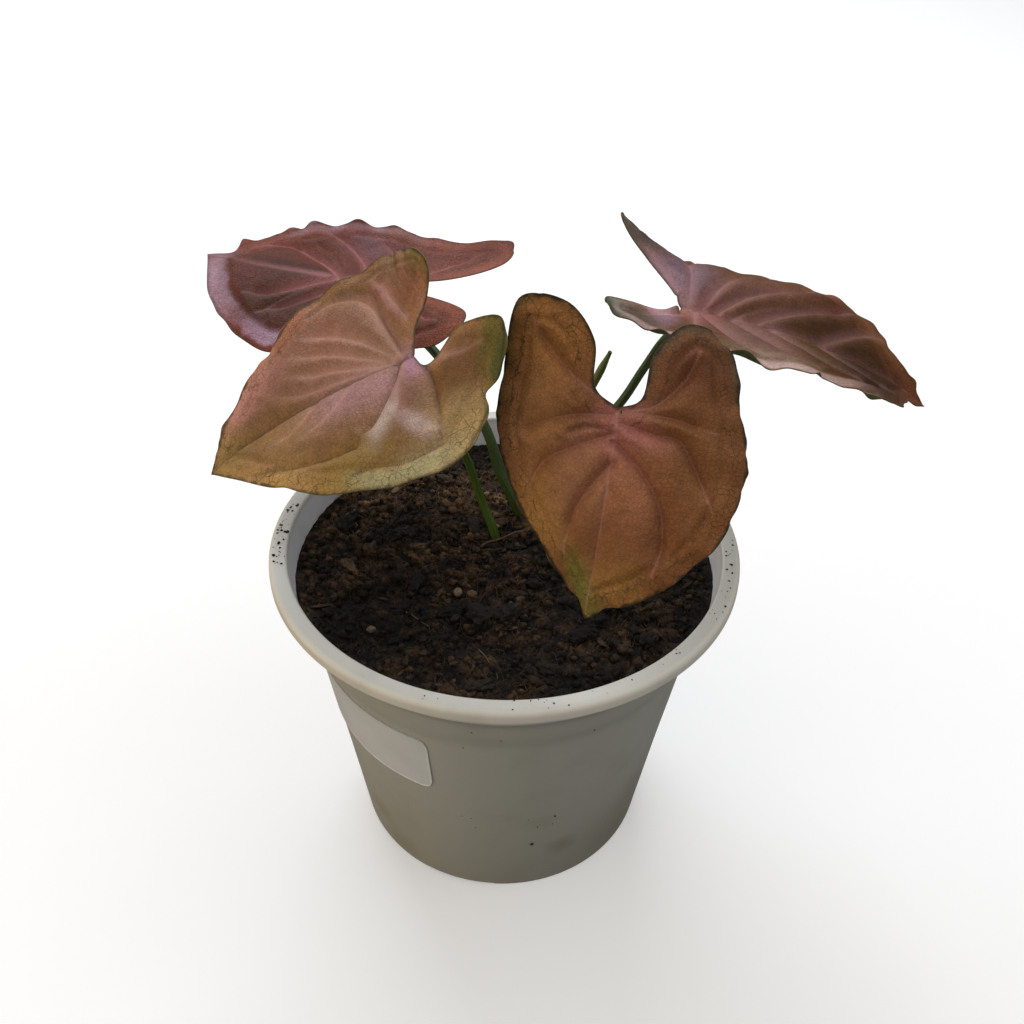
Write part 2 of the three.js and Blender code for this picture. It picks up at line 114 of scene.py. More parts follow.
# Soil: its body, its broad lumps, which are the solid's own, and the finer relief over them, each as
# height, scale, seed and middle
SOIL_LEVEL = 104.0
SOIL_FLOOR = 4.4
SOIL_EDGE = 67.4
SOIL_SIDE = [(47.6, SOIL_FLOOR), (49, 6), (60.4, 82), (61.1, 86.5), (63, 92), (64.2, 100)]
SOIL_RINGS = 160
SOIL_SEGMENTS = 500
SOIL_LUMPS = dict(count=90, height=2.4, spread=4.2, reach=64.0, beats=(2.4, 0.7))
GOLDEN_ANGLE = math.pi * (3 - math.sqrt(5))
SOIL_CLODS = (1.7, 0.16, 3.1, 0.45)
SOIL_CRUMBLE = (1.1, 0.45, 9.7, 0.4)
SOIL_GRAIN = (0.6, 1.5, 1.3)
SOIL_COLORS = dict(
    black=(0.006, 0.0045, 0.0035), dark=(0.020, 0.013, 0.007), brown=(0.135, 0.074, 0.035),
    fleck=(0.16, 0.095, 0.055), pale=(0.40, 0.31, 0.19))

# What is strewn on the soil. Sizes are least + spread * draw ** bias, a draw from 0 to 1.
STREWN_SEED = 7
CRUMBS = dict(count=5200, least=0.55, spread=2.7, bias=4.5, finer_over=1.6)
CHIPS = dict(count=230, least=1.8, spread=6.5, bias=2)
FIBRES = dict(count=800, length=(3, 11), bend=0.16, radius=(0.06, 0.17), points=9)

# Larger bits lying on the soil: place, length, width, height, heading in degrees, tone and paleness.
# Bits paler than PALE_BIT are smooth.
SOIL_BITS_SEED = 23
PALE_BIT = 0.1
SOIL_BITS = [
    (-49.9, -4.5, 8, 3.4, 2.2, -60, 1.2, 0.045), (-44.5, 4.5, 5, 4, 2.6, 40, 1.0, 0.025),
    (-14.5, -15.5, 2.6, 3.4, 2.4, 0, 0.9, 0.4), (-10, -15.9, 3, 3, 2, 30, 0.9, 0.12),
    (-40.2, -32.5, 3.0, 2.2, 1.8, 20, 0.9, 0.35), (-15.6, -23.4, 7.5, 5, 2.2, 15, -0.1, 0),
    (-6.8, -26.3, 9, 6.5, 2.6, -10, -0.05, 0.02), (1.5, -25.1, 8, 5.5, 2.4, 30, 0, 0.02),
    (-6.8, -54.9, 8, 4, 2, 10, 0.1, 0.03), (-39, 36.9, 3, 1.8, 1.2, 60, 0.7, 0.45),
    (-6.8, 35.7, 1.8, 1.5, 1.4, 0, 1, 1.0), (-2.2, 19.1, 3.4, 1.8, 0.7, 50, 0.9, 0.35),
    (24, -34, 9, 5, 2.2, 35, 0.0, 0), (37, -20, 8, 5, 2.2, -40, 0.05, 0),
    (-28, -12, 8, 4.5, 2.2, 80, 0.1, 0), (14, -48, 7, 4, 2, -20, 0.15, 0.02),
    (44, -36, 6, 4, 2, 60, 0.1, 0), (-54, 18, 8, 5, 2.4, 75, -0.05, 0), (-34, 14, 7, 4, 2, 20, 0.1, 0),
    (-22, 44, 7, 4, 2, -30, 0.4, 0.04), (10, -10, 6, 4, 2, 0, 0.05, 0),
]
# Roots showing on the soil: two ends and a radius
SOIL_ROOTS = [
    ((-8, 7.9), (8.3, 16.8), 0.45), ((-7.3, -40.2), (-1, -52.4), 0.22), ((-30, -26), (-22, -33), 0.25),
]

# Dirt on the rim's top, as clusters of bits: first and last azimuth, how many, greatest size
DIRT_SEED = 31
RIM_TOP = (69.8, 73.6)
LEAST_DIRT = 0.3
WALL_DIRT_PALE = 0.14
RIM_DIRT = [
    (-103, -78, 46, 1.3), (60, 92, 22, 0.9), (2, 16, 9, 0.9), (-18, -12, 3, 0.5), (20, 46, 7, 0.7),
    (150, 210, 10, 0.8),
]
# Dirt on the wall: azimuth, height and size
WALL_DIRT = [
    (25.9, 88.9, 0.7), (-7.3, 95, 0.6), (0.2, 91.4, 0.6), (-10.1, 84.7, 0.6), (-12.2, 44.4, 0.5),
    (-9.3, 43.8, 0.6), (-7.9, 38.4, 0.5), (11.6, 27.3, 1.5), (9.6, 43.5, 0.6), (12.9, 38.1, 0.8),
    (18.5, 42.9, 0.9), (18.1, 38.3, 0.6),
]
# Stains on the wall: azimuth, height, size and strength
WALL_STAINS = [
    (23, 21.7, 7, 0.5), (-50.4, 18.5, 8, 0.45), (-42, 8, 10, 0.4), (14, 40, 6, 0.2), (60, 30, 14, 0.25),
    (52, 12, 30, 0.45), (-75, 40, 16, 0.3),
]

# Blades: the same bends as the solids, on a finer grid
FOLD_SOFTNESS = 1.5
HALF_WIDTH_RATIO = 0.58
CREST_STATION = 3.5
ABREAST_STATION = 5.5
LOBE_COLUMNS = 48
BLADE_COLUMNS = 144
BLADE_ROWS = 56
ROW_CROWDING = 1.25
BLADE_THICKNESS = 0.6
MARGIN_THICKNESS = 0.3
CURL_WIDTH = 3.2

# Relief of a blade: cushions between the veins, puffs between the finest ones, and ribs underneath
CUSHION_INSET = 9
CUSHION_HEIGHT = 1.3
VEIN_LEVEL = 0.35
PUFF_HEIGHT = 0.2
PUFF_SIZE = 5.0
VEIN_SINK = 0.15
RIB_HEIGHT = 0.4

# Veins: widths of the line, its glow, a crease's shadow and the groove along it. A seam runs round the
# blade at an inset from the margin.
MIDRIB = dict(end=0.97, strength=0.9, depth=0.45)
VEIN_SAMPLES = 160
MARGIN_SAMPLES = 400
VEIN_WIDTH = 0.5
LEAST_VEIN_WIDTH = 0.38
GLOW_WIDTH = 1.8
SHADOW_WIDTH = 1.1
GROOVE_WIDTH = 2.1
GROOVE_ROUNDING = 0.3
CREASE_GAIN = 1.3
SEAM = dict(inset=6.5, width=1.6, depth=0.3)

# Colouring of a blade
PATCH_BASE_WEIGHT = 0.25
BAND_STRENGTH = 0.85
VEIN_BRIGHTENING = 0.45
LEAF_DOTS = (0.50, 0.34, 0.24)
UNDERSIDE = dict(dark=(0.13, 0.18, 0.045), light=(0.20, 0.18, 0.07))

# Petioles and the new leaf
ROOT_DEPTH = 20.0
PETIOLE_RISE = 4.5
PETIOLE_TAPER = 0.8
STEM_SIDES = 28
STEM_POINTS = 130
SPIKE_POINTS = 110
STEM_FOOT = (0.10, 0.13, 0.04)
SPIKE_GREENS = ((0.10, 0.14, 0.02), (0.22, 0.25, 0.05))

# Studio: its floor, and its lights as name, place, size, power and colour, in metres
FLOOR_RADIUS = 6
FLOOR_COLORS = ((0.16, 0.155, 0.15), (0.76, 0.76, 0.755))
FLOOR_GLOW = 0.3
WORLD_COLOR = (0.95, 0.95, 0.98, 1)
WORLD_STRENGTH = 0.24
LIGHT_AIM = (0, 0, 0.12)
LIGHTS = [
    ("window", (-0.25, 1.15, 1.25), (1.3, 0.9), 17, (0.9, 0.93, 1.0)),
    ("overhead", (0.1, 0.0, 1.3), (2.0, 2.0), 8, (1.0, 0.98, 0.94)),
    ("fill", (-0.8, -0.9, 0.5), (1.2, 0.9), 2.4, (1.0, 0.84, 0.6)),
    ("glow", (-0.9, -0.1, 0.12), (0.6, 0.4), 1.7, (1.0, 0.74, 0.42)),
    ("side", (1.0, -0.1, 0.6), (0.8, 0.6), 1.2, (1.0, 0.97, 0.92)),
]

# Most of a noise texture's values lie between these
NOISE_RANGE = (0.3, 0.7)

# Each leaf. First the solids' own values: where its petiole ends, the direction of its tip and its bends
# in degrees, its waves as height, count and phase for each half, and its margin's points, across and
# along from the petiole. Places in what follows are on the flat leaf in the same way.
# glow: how strongly the veins tint their surroundings. contrast: how much darker the fields between them
# are. relief: how high the cushions stand. net: strength of the dark net, inside and near the margin.
# edge: darkness of the very margin. look: colours and gloss of its material, with the seam's strength.
# veins and creases: strength and points. patches: middle, half width and half height, lean in degrees and
# colour. bands: middle, half width and half height, the first and last distance from the margin, and
# colour. nicks: a place on the margin, how far it is moved outwards and upwards there, and its reach.
# dents: middle, depth, half width and half height.
# Creases, and a midrib given as dark, are darkened as painted shade, with a softer painted shadow about them.
LEAVES = [
    dict(
        name="back_left", at=(-42.8, 61.1, 172.6), heading=168, droop=0.3, roll=-6.4,
        length=61.5, notch=1, sweep=1, fold=(-27, 8), cup=(42, -27), lobe=(-20, -9), arch=-5, twist=-10,
        waves=((0.5, 8, 0.4), (0.5, 6, 0)),
        right=[
            (6, -6), (9.5, -20), (20, -36), (34.5, -33.5), (36, -11), (38.5, 10.5), (32.5, 32), (18, 50),
        ],
        left=[
            (5, -6), (8, -20), (18.5, -34.5), (31, -29.5), (37, -10.5), (38.5, 10.5), (34.5, 33.5),
            (19.5, 52),
        ],
        stem=dict(
            radius=1.85, sheath=2.6, foot=(5, 26),
            path=[(-2.2, 28.5, 121), (-7.6, 32, 136), (-22.8, 44.6, 154.2)]),
        midrib="pale", glow=0.9, contrast=0.6, relief=2.0, net=(0.06, 0.2), edge=0.45, slot="leaf_mauve",
        look=dict(
            net_color=(0.06, 0.03, 0.02), vein_color=(0.47, 0.22, 0.225), gloss=0.36, seam=0.0, shine=0.1),
        greens=((0.035, 0.065, 0.012), (0.075, 0.125, 0.022)),
        veins=[
            (1.0, [(0, 14), (10, 21), (16, 30), (19.5, 38), (17, 45), (12, 50)]),
            (0.9, [(0, 5), (12, 9), (23, 16), (30, 27), (28, 38)]),
            (0.7, [(0, 0), (14, 1), (26, 4), (33, 12)]), (0.8, [(1, -2), (12, -8), (23, -18), (27, -27)]),
            (0.9, [(0, 15), (-7.5, 25), (-13, 34), (-16, 42)]),
            (1.0, [(-1, 8), (-9, 16), (-17, 26), (-23, 35)]),
            (0.8, [(-1, 2), (-13, 7), (-25, 13), (-31, 20)]), (0.6, [(-1, -1), (-14, -3), (-26, -5)]),
            (0.8, [(-1, -2), (-10, -9), (-18, -19), (-23, -26)]),
        ],
        creases=[(0.5, [(-5, 20), (-13, 27), (-20, 33), (-24, 38)]), (0.4, [(5, 14), (17, 22), (24, 32)])],
        base=(0.179, 0.046, 0.029),
        patches=[
            (2, 36, 4, 13, 0, (0.072, 0.018, 0.008)), (-16, 28, 8, 11, 20, (0.07, 0.03, 0.012)),
            (13, 33, 3.5, 11, -25, (0.167, 0.042, 0.018)), (26, 11, 5, 8, -20, (0.249, 0.109, 0.118)),
            (8, 49, 8, 5, 0, (0.174, 0.043, 0.019)), (23, 34, 5, 10, -20, (0.174, 0.043, 0.019)),
            (22, -20, 8, 12, 0, (0.277, 0.092, 0.056)), (31, -28, 5, 8, 0, (0.133, 0.033, 0.015)),
            (-20, -26, 9, 8, 0, (0.22, 0.059, 0.025)), (36, 0, 3, 12, 0, (0.208, 0.079, 0.05)),
            (-6, 22, 2.5, 9, 30, (0.329, 0.114, 0.102)),
        ],
        bands=[
            # Painted reflections: these three lavender bands, along the top, the left and the right margin,
            # stand for the window's sheen.
            (-12, 52, 16, 14, -2, 6.5, (0.36, 0.225, 0.28)), (-35, 26, 12, 18, 1.8, 8, (0.43, 0.28, 0.38)),
            (34, 24, 14, 26, 0.6, 3.5, (0.26, 0.15, 0.17)),
        ],
        nicks=[
            (8, 57, -3, 0, 3.4), (14.9, 52.6, 3, 0, 2.6), (21, 47, -0.4, 0, 2), (26.7, 40.7, 1.7, 0.4, 2.8),
            (28.8, 37.5, -0.6, 0, 1.6), (31.5, 34.2, 1.6, 0.4, 2.6), (34.5, 27.7, -1, 0, 2.8),
            (37, 19.6, 1.6, 0.4, 2.6), (38.2, 13.8, -1.2, 0, 2.6), (38.6, 7, 0.5, 0.3, 2),
            (38, 2, -0.4, 0, 2), (36.3, -8.3, 0.5, 0, 3), (34, -34.5, 1.1, 0, 3), (24.6, -37.2, -1.2, 0, 4),
            (17.3, -33.7, 4, 0, 4), (10.6, -22.4, -2.4, 0, 4.5), (-16.6, 54, 0.3, 0, 4),
            (-24, 48, 0.4, 0, 3), (-31, 40, 0.7, 0, 4), (-36.5, 28, 0.3, 0, 4), (-34.5, -22, -1, 0, 4),
            (-8.3, -20.6, 0.8, 0, 4),
        ],
        dents=[],
    ),
    dict(
        name="front_left", at=(-27.9, -3.9, 182.9), heading=183.5, droop=24.5, roll=5.1,
        length=72.5, notch=1.5, sweep=0.5, fold=(37, -8), cup=(-21, -26), lobe=(-85, -52), arch=17,
        twist=-2,
        waves=((0.7, 8, 1), (0.4, 6, 0)),
        right=[(9, -6), (14, -17), (20, -31), (32.5, -27.5), (40, -9.5), (39, 10), (34, 31), (17, 55)],
        left=[
            (7, -6), (1.5, -18.5), (19.5, -32.5), (30, -25.5), (42.5, -8), (42, 10.5), (34.5, 32.5),
            (18, 54),
        ],
        stem=dict(
            radius=1.45, sheath=1.7, foot=(-3.5, 14),
            path=[(-8, 15.3, 118), (-13.1, 12.6, 138), (-20.5, 4, 160)]),
        midrib="dark", glow=0.9, contrast=0.4, relief=2.0, net=(0.1, 0.95), edge=0.8, slot="leaf_salmon",
        look=dict(
            net_color=(0.045, 0.045, 0.012), vein_color=(0.56, 0.33, 0.27), gloss=0.42, seam=0.45,
            shine=0.18),
        greens=((0.045, 0.095, 0.01), (0.1, 0.165, 0.022)),
        veins=[
            (0.6, [(1, 8), (3, 20), (5, 33), (9, 46)]), (0.9, [(1.5, 6), (5, 15), (9, 26), (12, 38)]),
            (0.9, [(2, 5), (8, 14), (15, 25), (18.5, 37)]), (0.8, [(3, 4), (12, 12), (20, 22), (23, 32)]),
            (1, [(3, 2), (14, 5), (26, 9), (31, 17), (29, 28)]),
            (0.7, [(14, -3), (22, 1), (29, 3), (32, 7)]), (0.5, [(7, -5), (14, -13), (22, -24)]),
            (0.5, [(0, 30), (-6, 38), (-9, 48)]), (0.4, [(0, 18), (-8, 26), (-14, 38)]),
            (0.5, [(-4, -6), (-11, -16), (-18, -25)]), (0.5, [(-1, 2.5), (-12, 4), (-24, 5)]),
        ],
        creases=[
            (1.1, [(0, 3), (-10, 7), (-18, 12), (-25, 19)]),
            (0.8, [(-25, 19), (-24, 28), (-20, 42), (-14, 55)]),
            (1, [(-4, -4), (-12, -6), (-24, -6), (-36, -5)]),
            (0.7, [(-36, -5), (-37, 5), (-34, 15), (-35, 24)]),
            (0.6, [(4, 1.5), (15, 4.5), (27, 7), (33, 17), (31, 28)]),
        ],
        base=(0.288, 0.139, 0.053),
        patches=[
            (-6, 18, 6, 14, 0, (0.512, 0.266, 0.27)), (-8, 42, 7, 12, 0, (0.394, 0.213, 0.078)),
            (6, 24, 4, 12, -15, (0.405, 0.19, 0.132)), (20, 22, 7, 12, -20, (0.423, 0.197, 0.138)),
            (24, 3, 8, 3, 20, (0.34, 0.128, 0.083)), (0, 64, 8, 8, 0, (0.352, 0.221, 0.068)),
            (14, 50, 5, 12, 20, (0.552, 0.249, 0.204)), (-22, 48, 6, 12, -25, (0.47, 0.272, 0.089)),
            (-32, 22, 6, 12, 0, (0.347, 0.22, 0.049)), (-40, 2, 4, 12, 0, (0.517, 0.41, 0.204)),
            # Painted highlights: the two whitish patches at (-21, 9) and (-27, 0).
            (-21, 9, 7, 2.5, -30, (0.694, 0.538, 0.462)), (-27, 0, 6, 2, 35, (0.66, 0.477, 0.429)),
            (-12, 1, 10, 4, -15, (0.277, 0.121, 0.087)), (-4, -1, 5, 3, 0, (0.408, 0.205, 0.344)),
            (-33, -11, 8, 5, 30, (0.482, 0.33, 0.14)), (-15, -14, 8, 8, 0, (0.2, 0.086, 0.023)),
            (-22, -27, 11, 4, -20, (0.123, 0.114, 0.014)), (20, -14, 7, 9, 0, (0.371, 0.139, 0.068)),
            (27, -25, 9, 5, 0, (0.248, 0.179, 0.058)), (37, 5, 4, 16, 0, (0.194, 0.088, 0.023)),
            (30, 34, 6, 8, 0, (0.353, 0.128, 0.071)),
        ],
        bands=[
            (-36, 8, 12, 16, 0.8, 4.5, (0.36, 0.33, 0.17)), (-30, -25, 14, 9, -2, 2.4, (0.07, 0.08, 0.02)),
            (31, -27, 14, 9, -2, 1.8, (0.1, 0.09, 0.022)),
        ],
        nicks=[
            (10.4, 62.5, 0.8, 0.2, 2.4), (18.4, 53.3, 0.5, 0, 3), (22.4, 47, -1.4, 0, 2.6),
            (26.3, 43.2, -2, 0, 2.6), (31.2, 36, 1, 0, 3), (8, 66, 0.8, 0, 1.8), (33.2, -26.7, -0.9, 0, 4),
            (9.5, -6.7, -0.8, 0, 3), (-5.5, -9.2, -1.2, 0, 3), (-16, -31, -0.4, 0, 3),
            (-27.5, -28.8, 1.8, 0, 3), (-34.4, -20.6, -3.2, 0, 2.6), (-38.3, -15.6, 0.6, 0, 2),
            (-41, -11.3, 0.7, 0, 3), (-26, 44.7, -0.6, 0, 4), (-36.3, 28.9, -0.4, 0, 3),
            (5, 68, 0.5, 0, 1.6),
        ],
        dents=[],
    ),
    dict(
        name="front_right", at=(29.5, -30.7, 184.1), heading=-100.2, droop=54, roll=-3.5,
        length=57.5, notch=1, sweep=2, fold=(-13, -1), cup=(-11, -12), lobe=(-20, 17), arch=13, twist=21,
        waves=((0.5, 9, 0), (0.6, 9, 2)),
        right=[(7, -6), (8.5, -18), (17, -27), (30, -26), (33.5, -9.5), (35, 9), (28, 28.5), (14.5, 44.5)],
        left=[
            (6, -4.5), (8, -17.5), (17, -27.5), (29, -23.5), (32.5, -6.5), (36, 11.5), (31, 31.5),
            (17.5, 46),
        ],
        stem=dict(radius=1.5, sheath=1.9, foot=(15, 21), path=[(18, 20.5, 122), (25, 9, 150)]),
        midrib="pale", glow=0.25, contrast=0.0, relief=3.4, net=(0.0, 0.85), edge=0.9,
        slot="leaf_terracotta",
        look=dict(
            net_color=(0.022, 0.02, 0.009), vein_color=(0.62, 0.3, 0.24), gloss=0.46, seam=1.0, shine=0.2),
        greens=((0.035, 0.065, 0.012), (0.075, 0.125, 0.022)),
        veins=[
            (1.0, [(0, 14), (6, 22), (10, 30), (11, 40)]), (0.8, [(0, 6), (10, 10), (20, 16), (24, 25)]),
            (0.7, [(1, 1), (12, 2), (24, 6), (29, 12)]), (0.9, [(2, -3), (10, -6), (20, -14), (26, -22)]),
            (1.0, [(0, 8), (-8, 15), (-14, 24), (-16, 34), (-15, 42)]),
            (0.9, [(-2, 3), (-11, 5), (-17.5, 6), (-24, 16), (-28, 23)]),
            (0.6, [(0, 0), (-14, 0), (-27, 3)]), (0.8, [(-3, -0.6), (-10, -3), (-17, -11), (-20, -19)]),
        ],
        creases=[(0.5, [(1, 5), (9, 5), (16, 9)]), (0.35, [(2, 14), (8, 21), (12, 30)])],
        base=(0.215, 0.081, 0.026),
        patches=[
            (-1, 6, 5, 8, 0, (0.494, 0.165, 0.147)), (-7, 20, 6, 10, 0, (0.482, 0.193, 0.09)),
            # Painted highlights: the pale patches at (9, 9) and (-9, 6), beside the junction.
            (8, 20, 6, 10, -30, (0.489, 0.221, 0.107)), (9, 9, 6, 3, 30, (0.461, 0.203, 0.125)),
            (-9, 6, 6, 2.5, -20, (0.45, 0.16, 0.12)), (-21, 4, 8, 10, 0, (0.251, 0.1, 0.03)),
            (25, 5, 8, 12, 0, (0.568, 0.256, 0.094)), (-22, -17, 8, 9, 0, (0.132, 0.037, 0.009)),
            (-24, -24, 7, 4, 0, (0.161, 0.075, 0.03)), (21, -17, 9, 9, 0, (0.511, 0.222, 0.062)),
            (-16, 33, 6, 9, 0, (0.261, 0.098, 0.031)), (-5, 46, 7, 7, 0, (0.395, 0.193, 0.048)),
            (3, 49, 8, 3, -58, (0.173, 0.198, 0.027)), (-27, 25, 6, 12, 0, (0.289, 0.115, 0.035)),
            (20, 32, 7, 9, 0, (0.518, 0.259, 0.069)), (-3, 33, 5, 8, 0, (0.279, 0.107, 0.034)),
        ],
        bands=[
            (-20, -20, 22, 14, 0.2, 1.8, (0.08, 0.07, 0.035)),
            (28, -22, 14, 16, 0.2, 1.4, (0.1, 0.085, 0.03)),
        ],
        nicks=[
            (6, 53.5, -1.7, 0, 3.2), (15, 44, 0.8, 0, 3), (27, 30, 0.8, 0, 3), (19, -27.6, -1.9, 0, 4),
            (34, 18, 0.5, 0, 2), (35, 11, -0.5, 0, 1.6), (35, 4, 0.4, 0, 1.6), (33, -6, -0.5, 0, 2),
            (-9.3, -19.8, -0.9, 0, 3), (-14.7, -26.3, -1.2, 0, 3), (-27.4, -25.1, -1.8, 0, 4),
            (-31.7, -12, 0.6, 0, 3), (-33, -3, -0.5, 0, 2), (-36, 3, 0.4, 0, 1.4), (-35.6, 7, -0.5, 0, 1.4),
            (-36.3, 12, 0.6, 0, 1.4), (-36, 17, -0.4, 0, 1.4), (-34, 24.6, -0.5, 0, 2),
            (-26.2, 38.2, -1, 0, 4), (-4.4, 54, -1.3, 0, 3),
        ],
        dents=[],
    ),
    dict(
        name="back_right", at=(55.7, 37.4, 177.6), heading=-11.9, droop=2.8, roll=2,
        length=81.5, notch=2, sweep=0.5, fold=(19, 30), cup=(-2, -79), lobe=(-38, -64), arch=29, twist=2,
        waves=((1.1, 7, 0), (0.9, 10, 1)),
        right=[
            (9, -4.5), (12, -18), (24, -28), (36, -25.5), (41, -7.5), (48.5, 13.5), (38.5, 37.5), (23, 63),
        ],
        left=[
            (7, -7.5), (14.5, -19.5), (22, -34.5), (34.5, -27.5), (43.5, -7.5), (49.5, 15), (39.5, 38),
            (18, 59),
        ],
        stem=dict(
            radius=1.7, sheath=2.1, foot=(11.5, 32),
            path=[(18.5, 35, 122), (36, 36, 142), (43.6, 36, 157), (49.4, 36, 168)]),
        midrib="pale", glow=1.0, contrast=0.6, relief=2.5, net=(0.15, 0.35), edge=0.5, slot="leaf_mauve",
        look=dict(
            net_color=(0.05, 0.035, 0.02), vein_color=(0.42, 0.23, 0.225), gloss=0.36, seam=0.0, shine=0.1),
        greens=((0.04, 0.07, 0.012), (0.08, 0.125, 0.025)),
        veins=[
            (0.8, [(-1, 40), (6, 48), (12, 58), (14, 66)]), (0.9, [(0, 24), (9, 33), (18, 45), (23, 55)]),
            (1.0, [(0, 12), (11, 20), (23, 31), (31, 42)]), (0.9, [(1, 5), (14, 10), (29, 17), (38, 26)]),
            (0.8, [(1, 2), (14, 3), (29, 4), (38, 9)]), (0.9, [(2, -2), (12, -7), (23, -16), (29, -22)]),
            (0.8, [(-1, 42), (-7.5, 49), (-13, 56), (-14, 64)]),
            (1.0, [(-1, 20), (-9, 31), (-17, 44), (-20, 52)]),
            (1.0, [(-1, 8), (-12, 18), (-23, 31), (-30, 42)]),
            (0.9, [(-1, 4), (-14, 9), (-28, 16), (-37, 25)]),
            (0.7, [(-1, 0), (-15, -1), (-29, -3), (-38, 2)]),
            (0.9, [(-2, -3), (-11, -10), (-20, -20), (-25, -28)]),
        ],
        creases=[(0.5, [(-2, 6), (-10, 14), (-18, 24), (-24, 34)]), (0.5, [(-1, 14), (-8, 24), (-14, 36)])],
        base=(0.2, 0.078, 0.025),
        patches=[
            (-6, 45, 6, 16, 0, (0.066, 0.023, 0.005)), (14, 58, 12, 12, 0, (0.016, 0.006, 0.003)),
            (14, 40, 12, 7, 0, (0.116, 0.052, 0.009)), (14, 22, 12, 9, 0, (0.253, 0.121, 0.099)),
            (4, 6, 9, 4, -10, (0.301, 0.082, 0.069)), (-14, 20, 5, 13, 30, (0.249, 0.108, 0.077)),
            # Painted sheen: the pale mauve patches at (-13, -6) and (20, -8), by the junction, stand for the
            # window's reflection.
            (-13, -6, 9, 10, 0, (0.285, 0.176, 0.233)), (-28, -26, 10, 7, 0, (0.091, 0.108, 0.09)),
            (20, -8, 9, 4, 0, (0.515, 0.3, 0.369)), (27, -16, 9, 6, 0, (0.152, 0.127, 0.094)),
            (30, -26, 12, 4, 0, (0.086, 0.146, 0.094)), (0, 74, 8, 8, 0, (0.108, 0.028, 0.008)),
            (38, 28, 7, 10, 0, (0.391, 0.277, 0.189)), (-20, 48, 5, 10, 0, (0.097, 0.024, 0.007)),
        ],
        bands=[
            # Painted reflection: the first band, pale mauve along the right margin, stands for the window's
            # sheen.
            (34, 14, 20, 40, 0.6, 5.5, (0.46, 0.32, 0.3)), (35, -27, 12, 8, -2, 2.6, (0.035, 0.05, 0.022)),
            (-33, -29, 12, 9, -2, 2.4, (0.045, 0.055, 0.028)), (-40, 20, 12, 30, 0.4, 3, (0.22, 0.12, 0.1)),
        ],
        nicks=[
            (36.5, 41.5, -2.6, 1, 3.2), (28.7, 54.6, 3.8, -2.2, 3.2), (23.8, 62, -0.6, 0, 1.6),
            (19.5, 67, 1.8, -0.6, 1.8), (12, 73, -1.5, 0, 3), (47, 17, 0, 3.2, 5), (43, 28, 0, 1.2, 3),
            (42, -8, 0, 3, 4), (38, 38, 0, 1.6, 2), (-32, 44, -0.3, 0.3, 2.4), (-26, 51, 0.5, 0.2, 2),
            (-20, 58, 0.3, 0.2, 2.2), (-15.5, 62.5, 0.9, 0.4, 2), (-9.6, 69, -0.6, 0, 2.4),
            (-5, 75, 1.6, 0.4, 2), (-43, 27, 0.8, 1.2, 1.8), (-48, 16, 0.8, 1.4, 1.8),
            (-38, 36, 0.8, 1.2, 1.8), (-48.5, 6, 0.8, 1.4, 1.8), (-46, -3, 0.5, 1, 1.8),
            (-36, -18, -1.6, 0, 7), (-43, -6, -1.4, 0, 7),
        ],
        dents=[(-35, 16, 3.8, 13, 22), (-36, -8, 2.0, 8, 11)],
    ),
]
NEW_LEAF = dict(radius=1.4, foot=(11, 39.5), path=[(14.5, 40.5, 120), (27.5, 41, 146), (33, 41, 160)])


def smoothstep(low, high, value):
    t = np.clip((np.asarray(value, float) - low) / (high - low), 0, 1)
    return t * t * (3 - 2 * t)


def lerp(a, b, t):
    return a + (b - a) * t


# Meshes

def add_piece(name, points, faces, material, replaced=(), values=None, colors=None):
    """A mesh piece from points in millimetres, with point values and colours for its material."""
    mesh = bpy.data.meshes.new(name)
    mesh.from_pydata((np.asarray(points, float) * MM).tolist(), [], [tuple(int(i) for i in f) for f in faces])
    mesh.polygons.foreach_set("use_smooth", [True] * len(mesh.polygons))
    for key, value in (values or {}).items():
        value = np.asarray(value, np.float32)
        kind = "FLOAT" if value.ndim == 1 else "FLOAT_VECTOR"
        attribute = mesh.attributes.new(key, kind, "POINT")
        attribute.data.foreach_set("value" if value.ndim == 1 else "vector", value.ravel())
    for key, value in (colors or {}).items():
        attribute = mesh.attributes.new(key, "FLOAT_COLOR", "POINT")
        rgba = np.ones((len(points), 4), np.float32)
        rgba[:, :3] = value
        attribute.data.foreach_set("color", rgba.ravel())
    mesh.update()
    piece = bpy.data.objects.new(name, mesh)
    bpy.context.scene.collection.objects.link(piece)
    mesh.materials.append(material)
    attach(piece, BODY)
    if replaced:
        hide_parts(*replaced)
    return piece


def grid_faces(rows, columns, flip=False, wrap=False, offset=0):
    """Quads of a grid numbered row by row; with wrap, each row's end meets its start."""
    i, j = np.meshgrid(np.arange(rows - 1), np.arange(columns if wrap else columns - 1), indexing="ij")
    k = (j + 1) % columns
    a, b, c, d = i * columns + j, (i + 1) * columns + j, (i + 1) * columns + k, i * columns + k
    quads = np.stack([a, d, c, b] if flip else [a, b, c, d], -1).reshape(-1, 4)
    return quads + offset


def lathe(profile, segments):
    """Points and faces of a closed profile of (radius, z) turned about Z."""
    angles = np.linspace(0, 2 * math.pi, segments, endpoint=False)
    profile = np.asarray(profile, float)
    points = np.stack([
        profile[:, :1] * np.cos(angles), profile[:, :1] * np.sin(angles),
        np.repeat(profile[:, 1:], segments, 1)], -1)
    return points.reshape(-1, 3), grid_faces(len(profile), segments, flip=True, wrap=True)


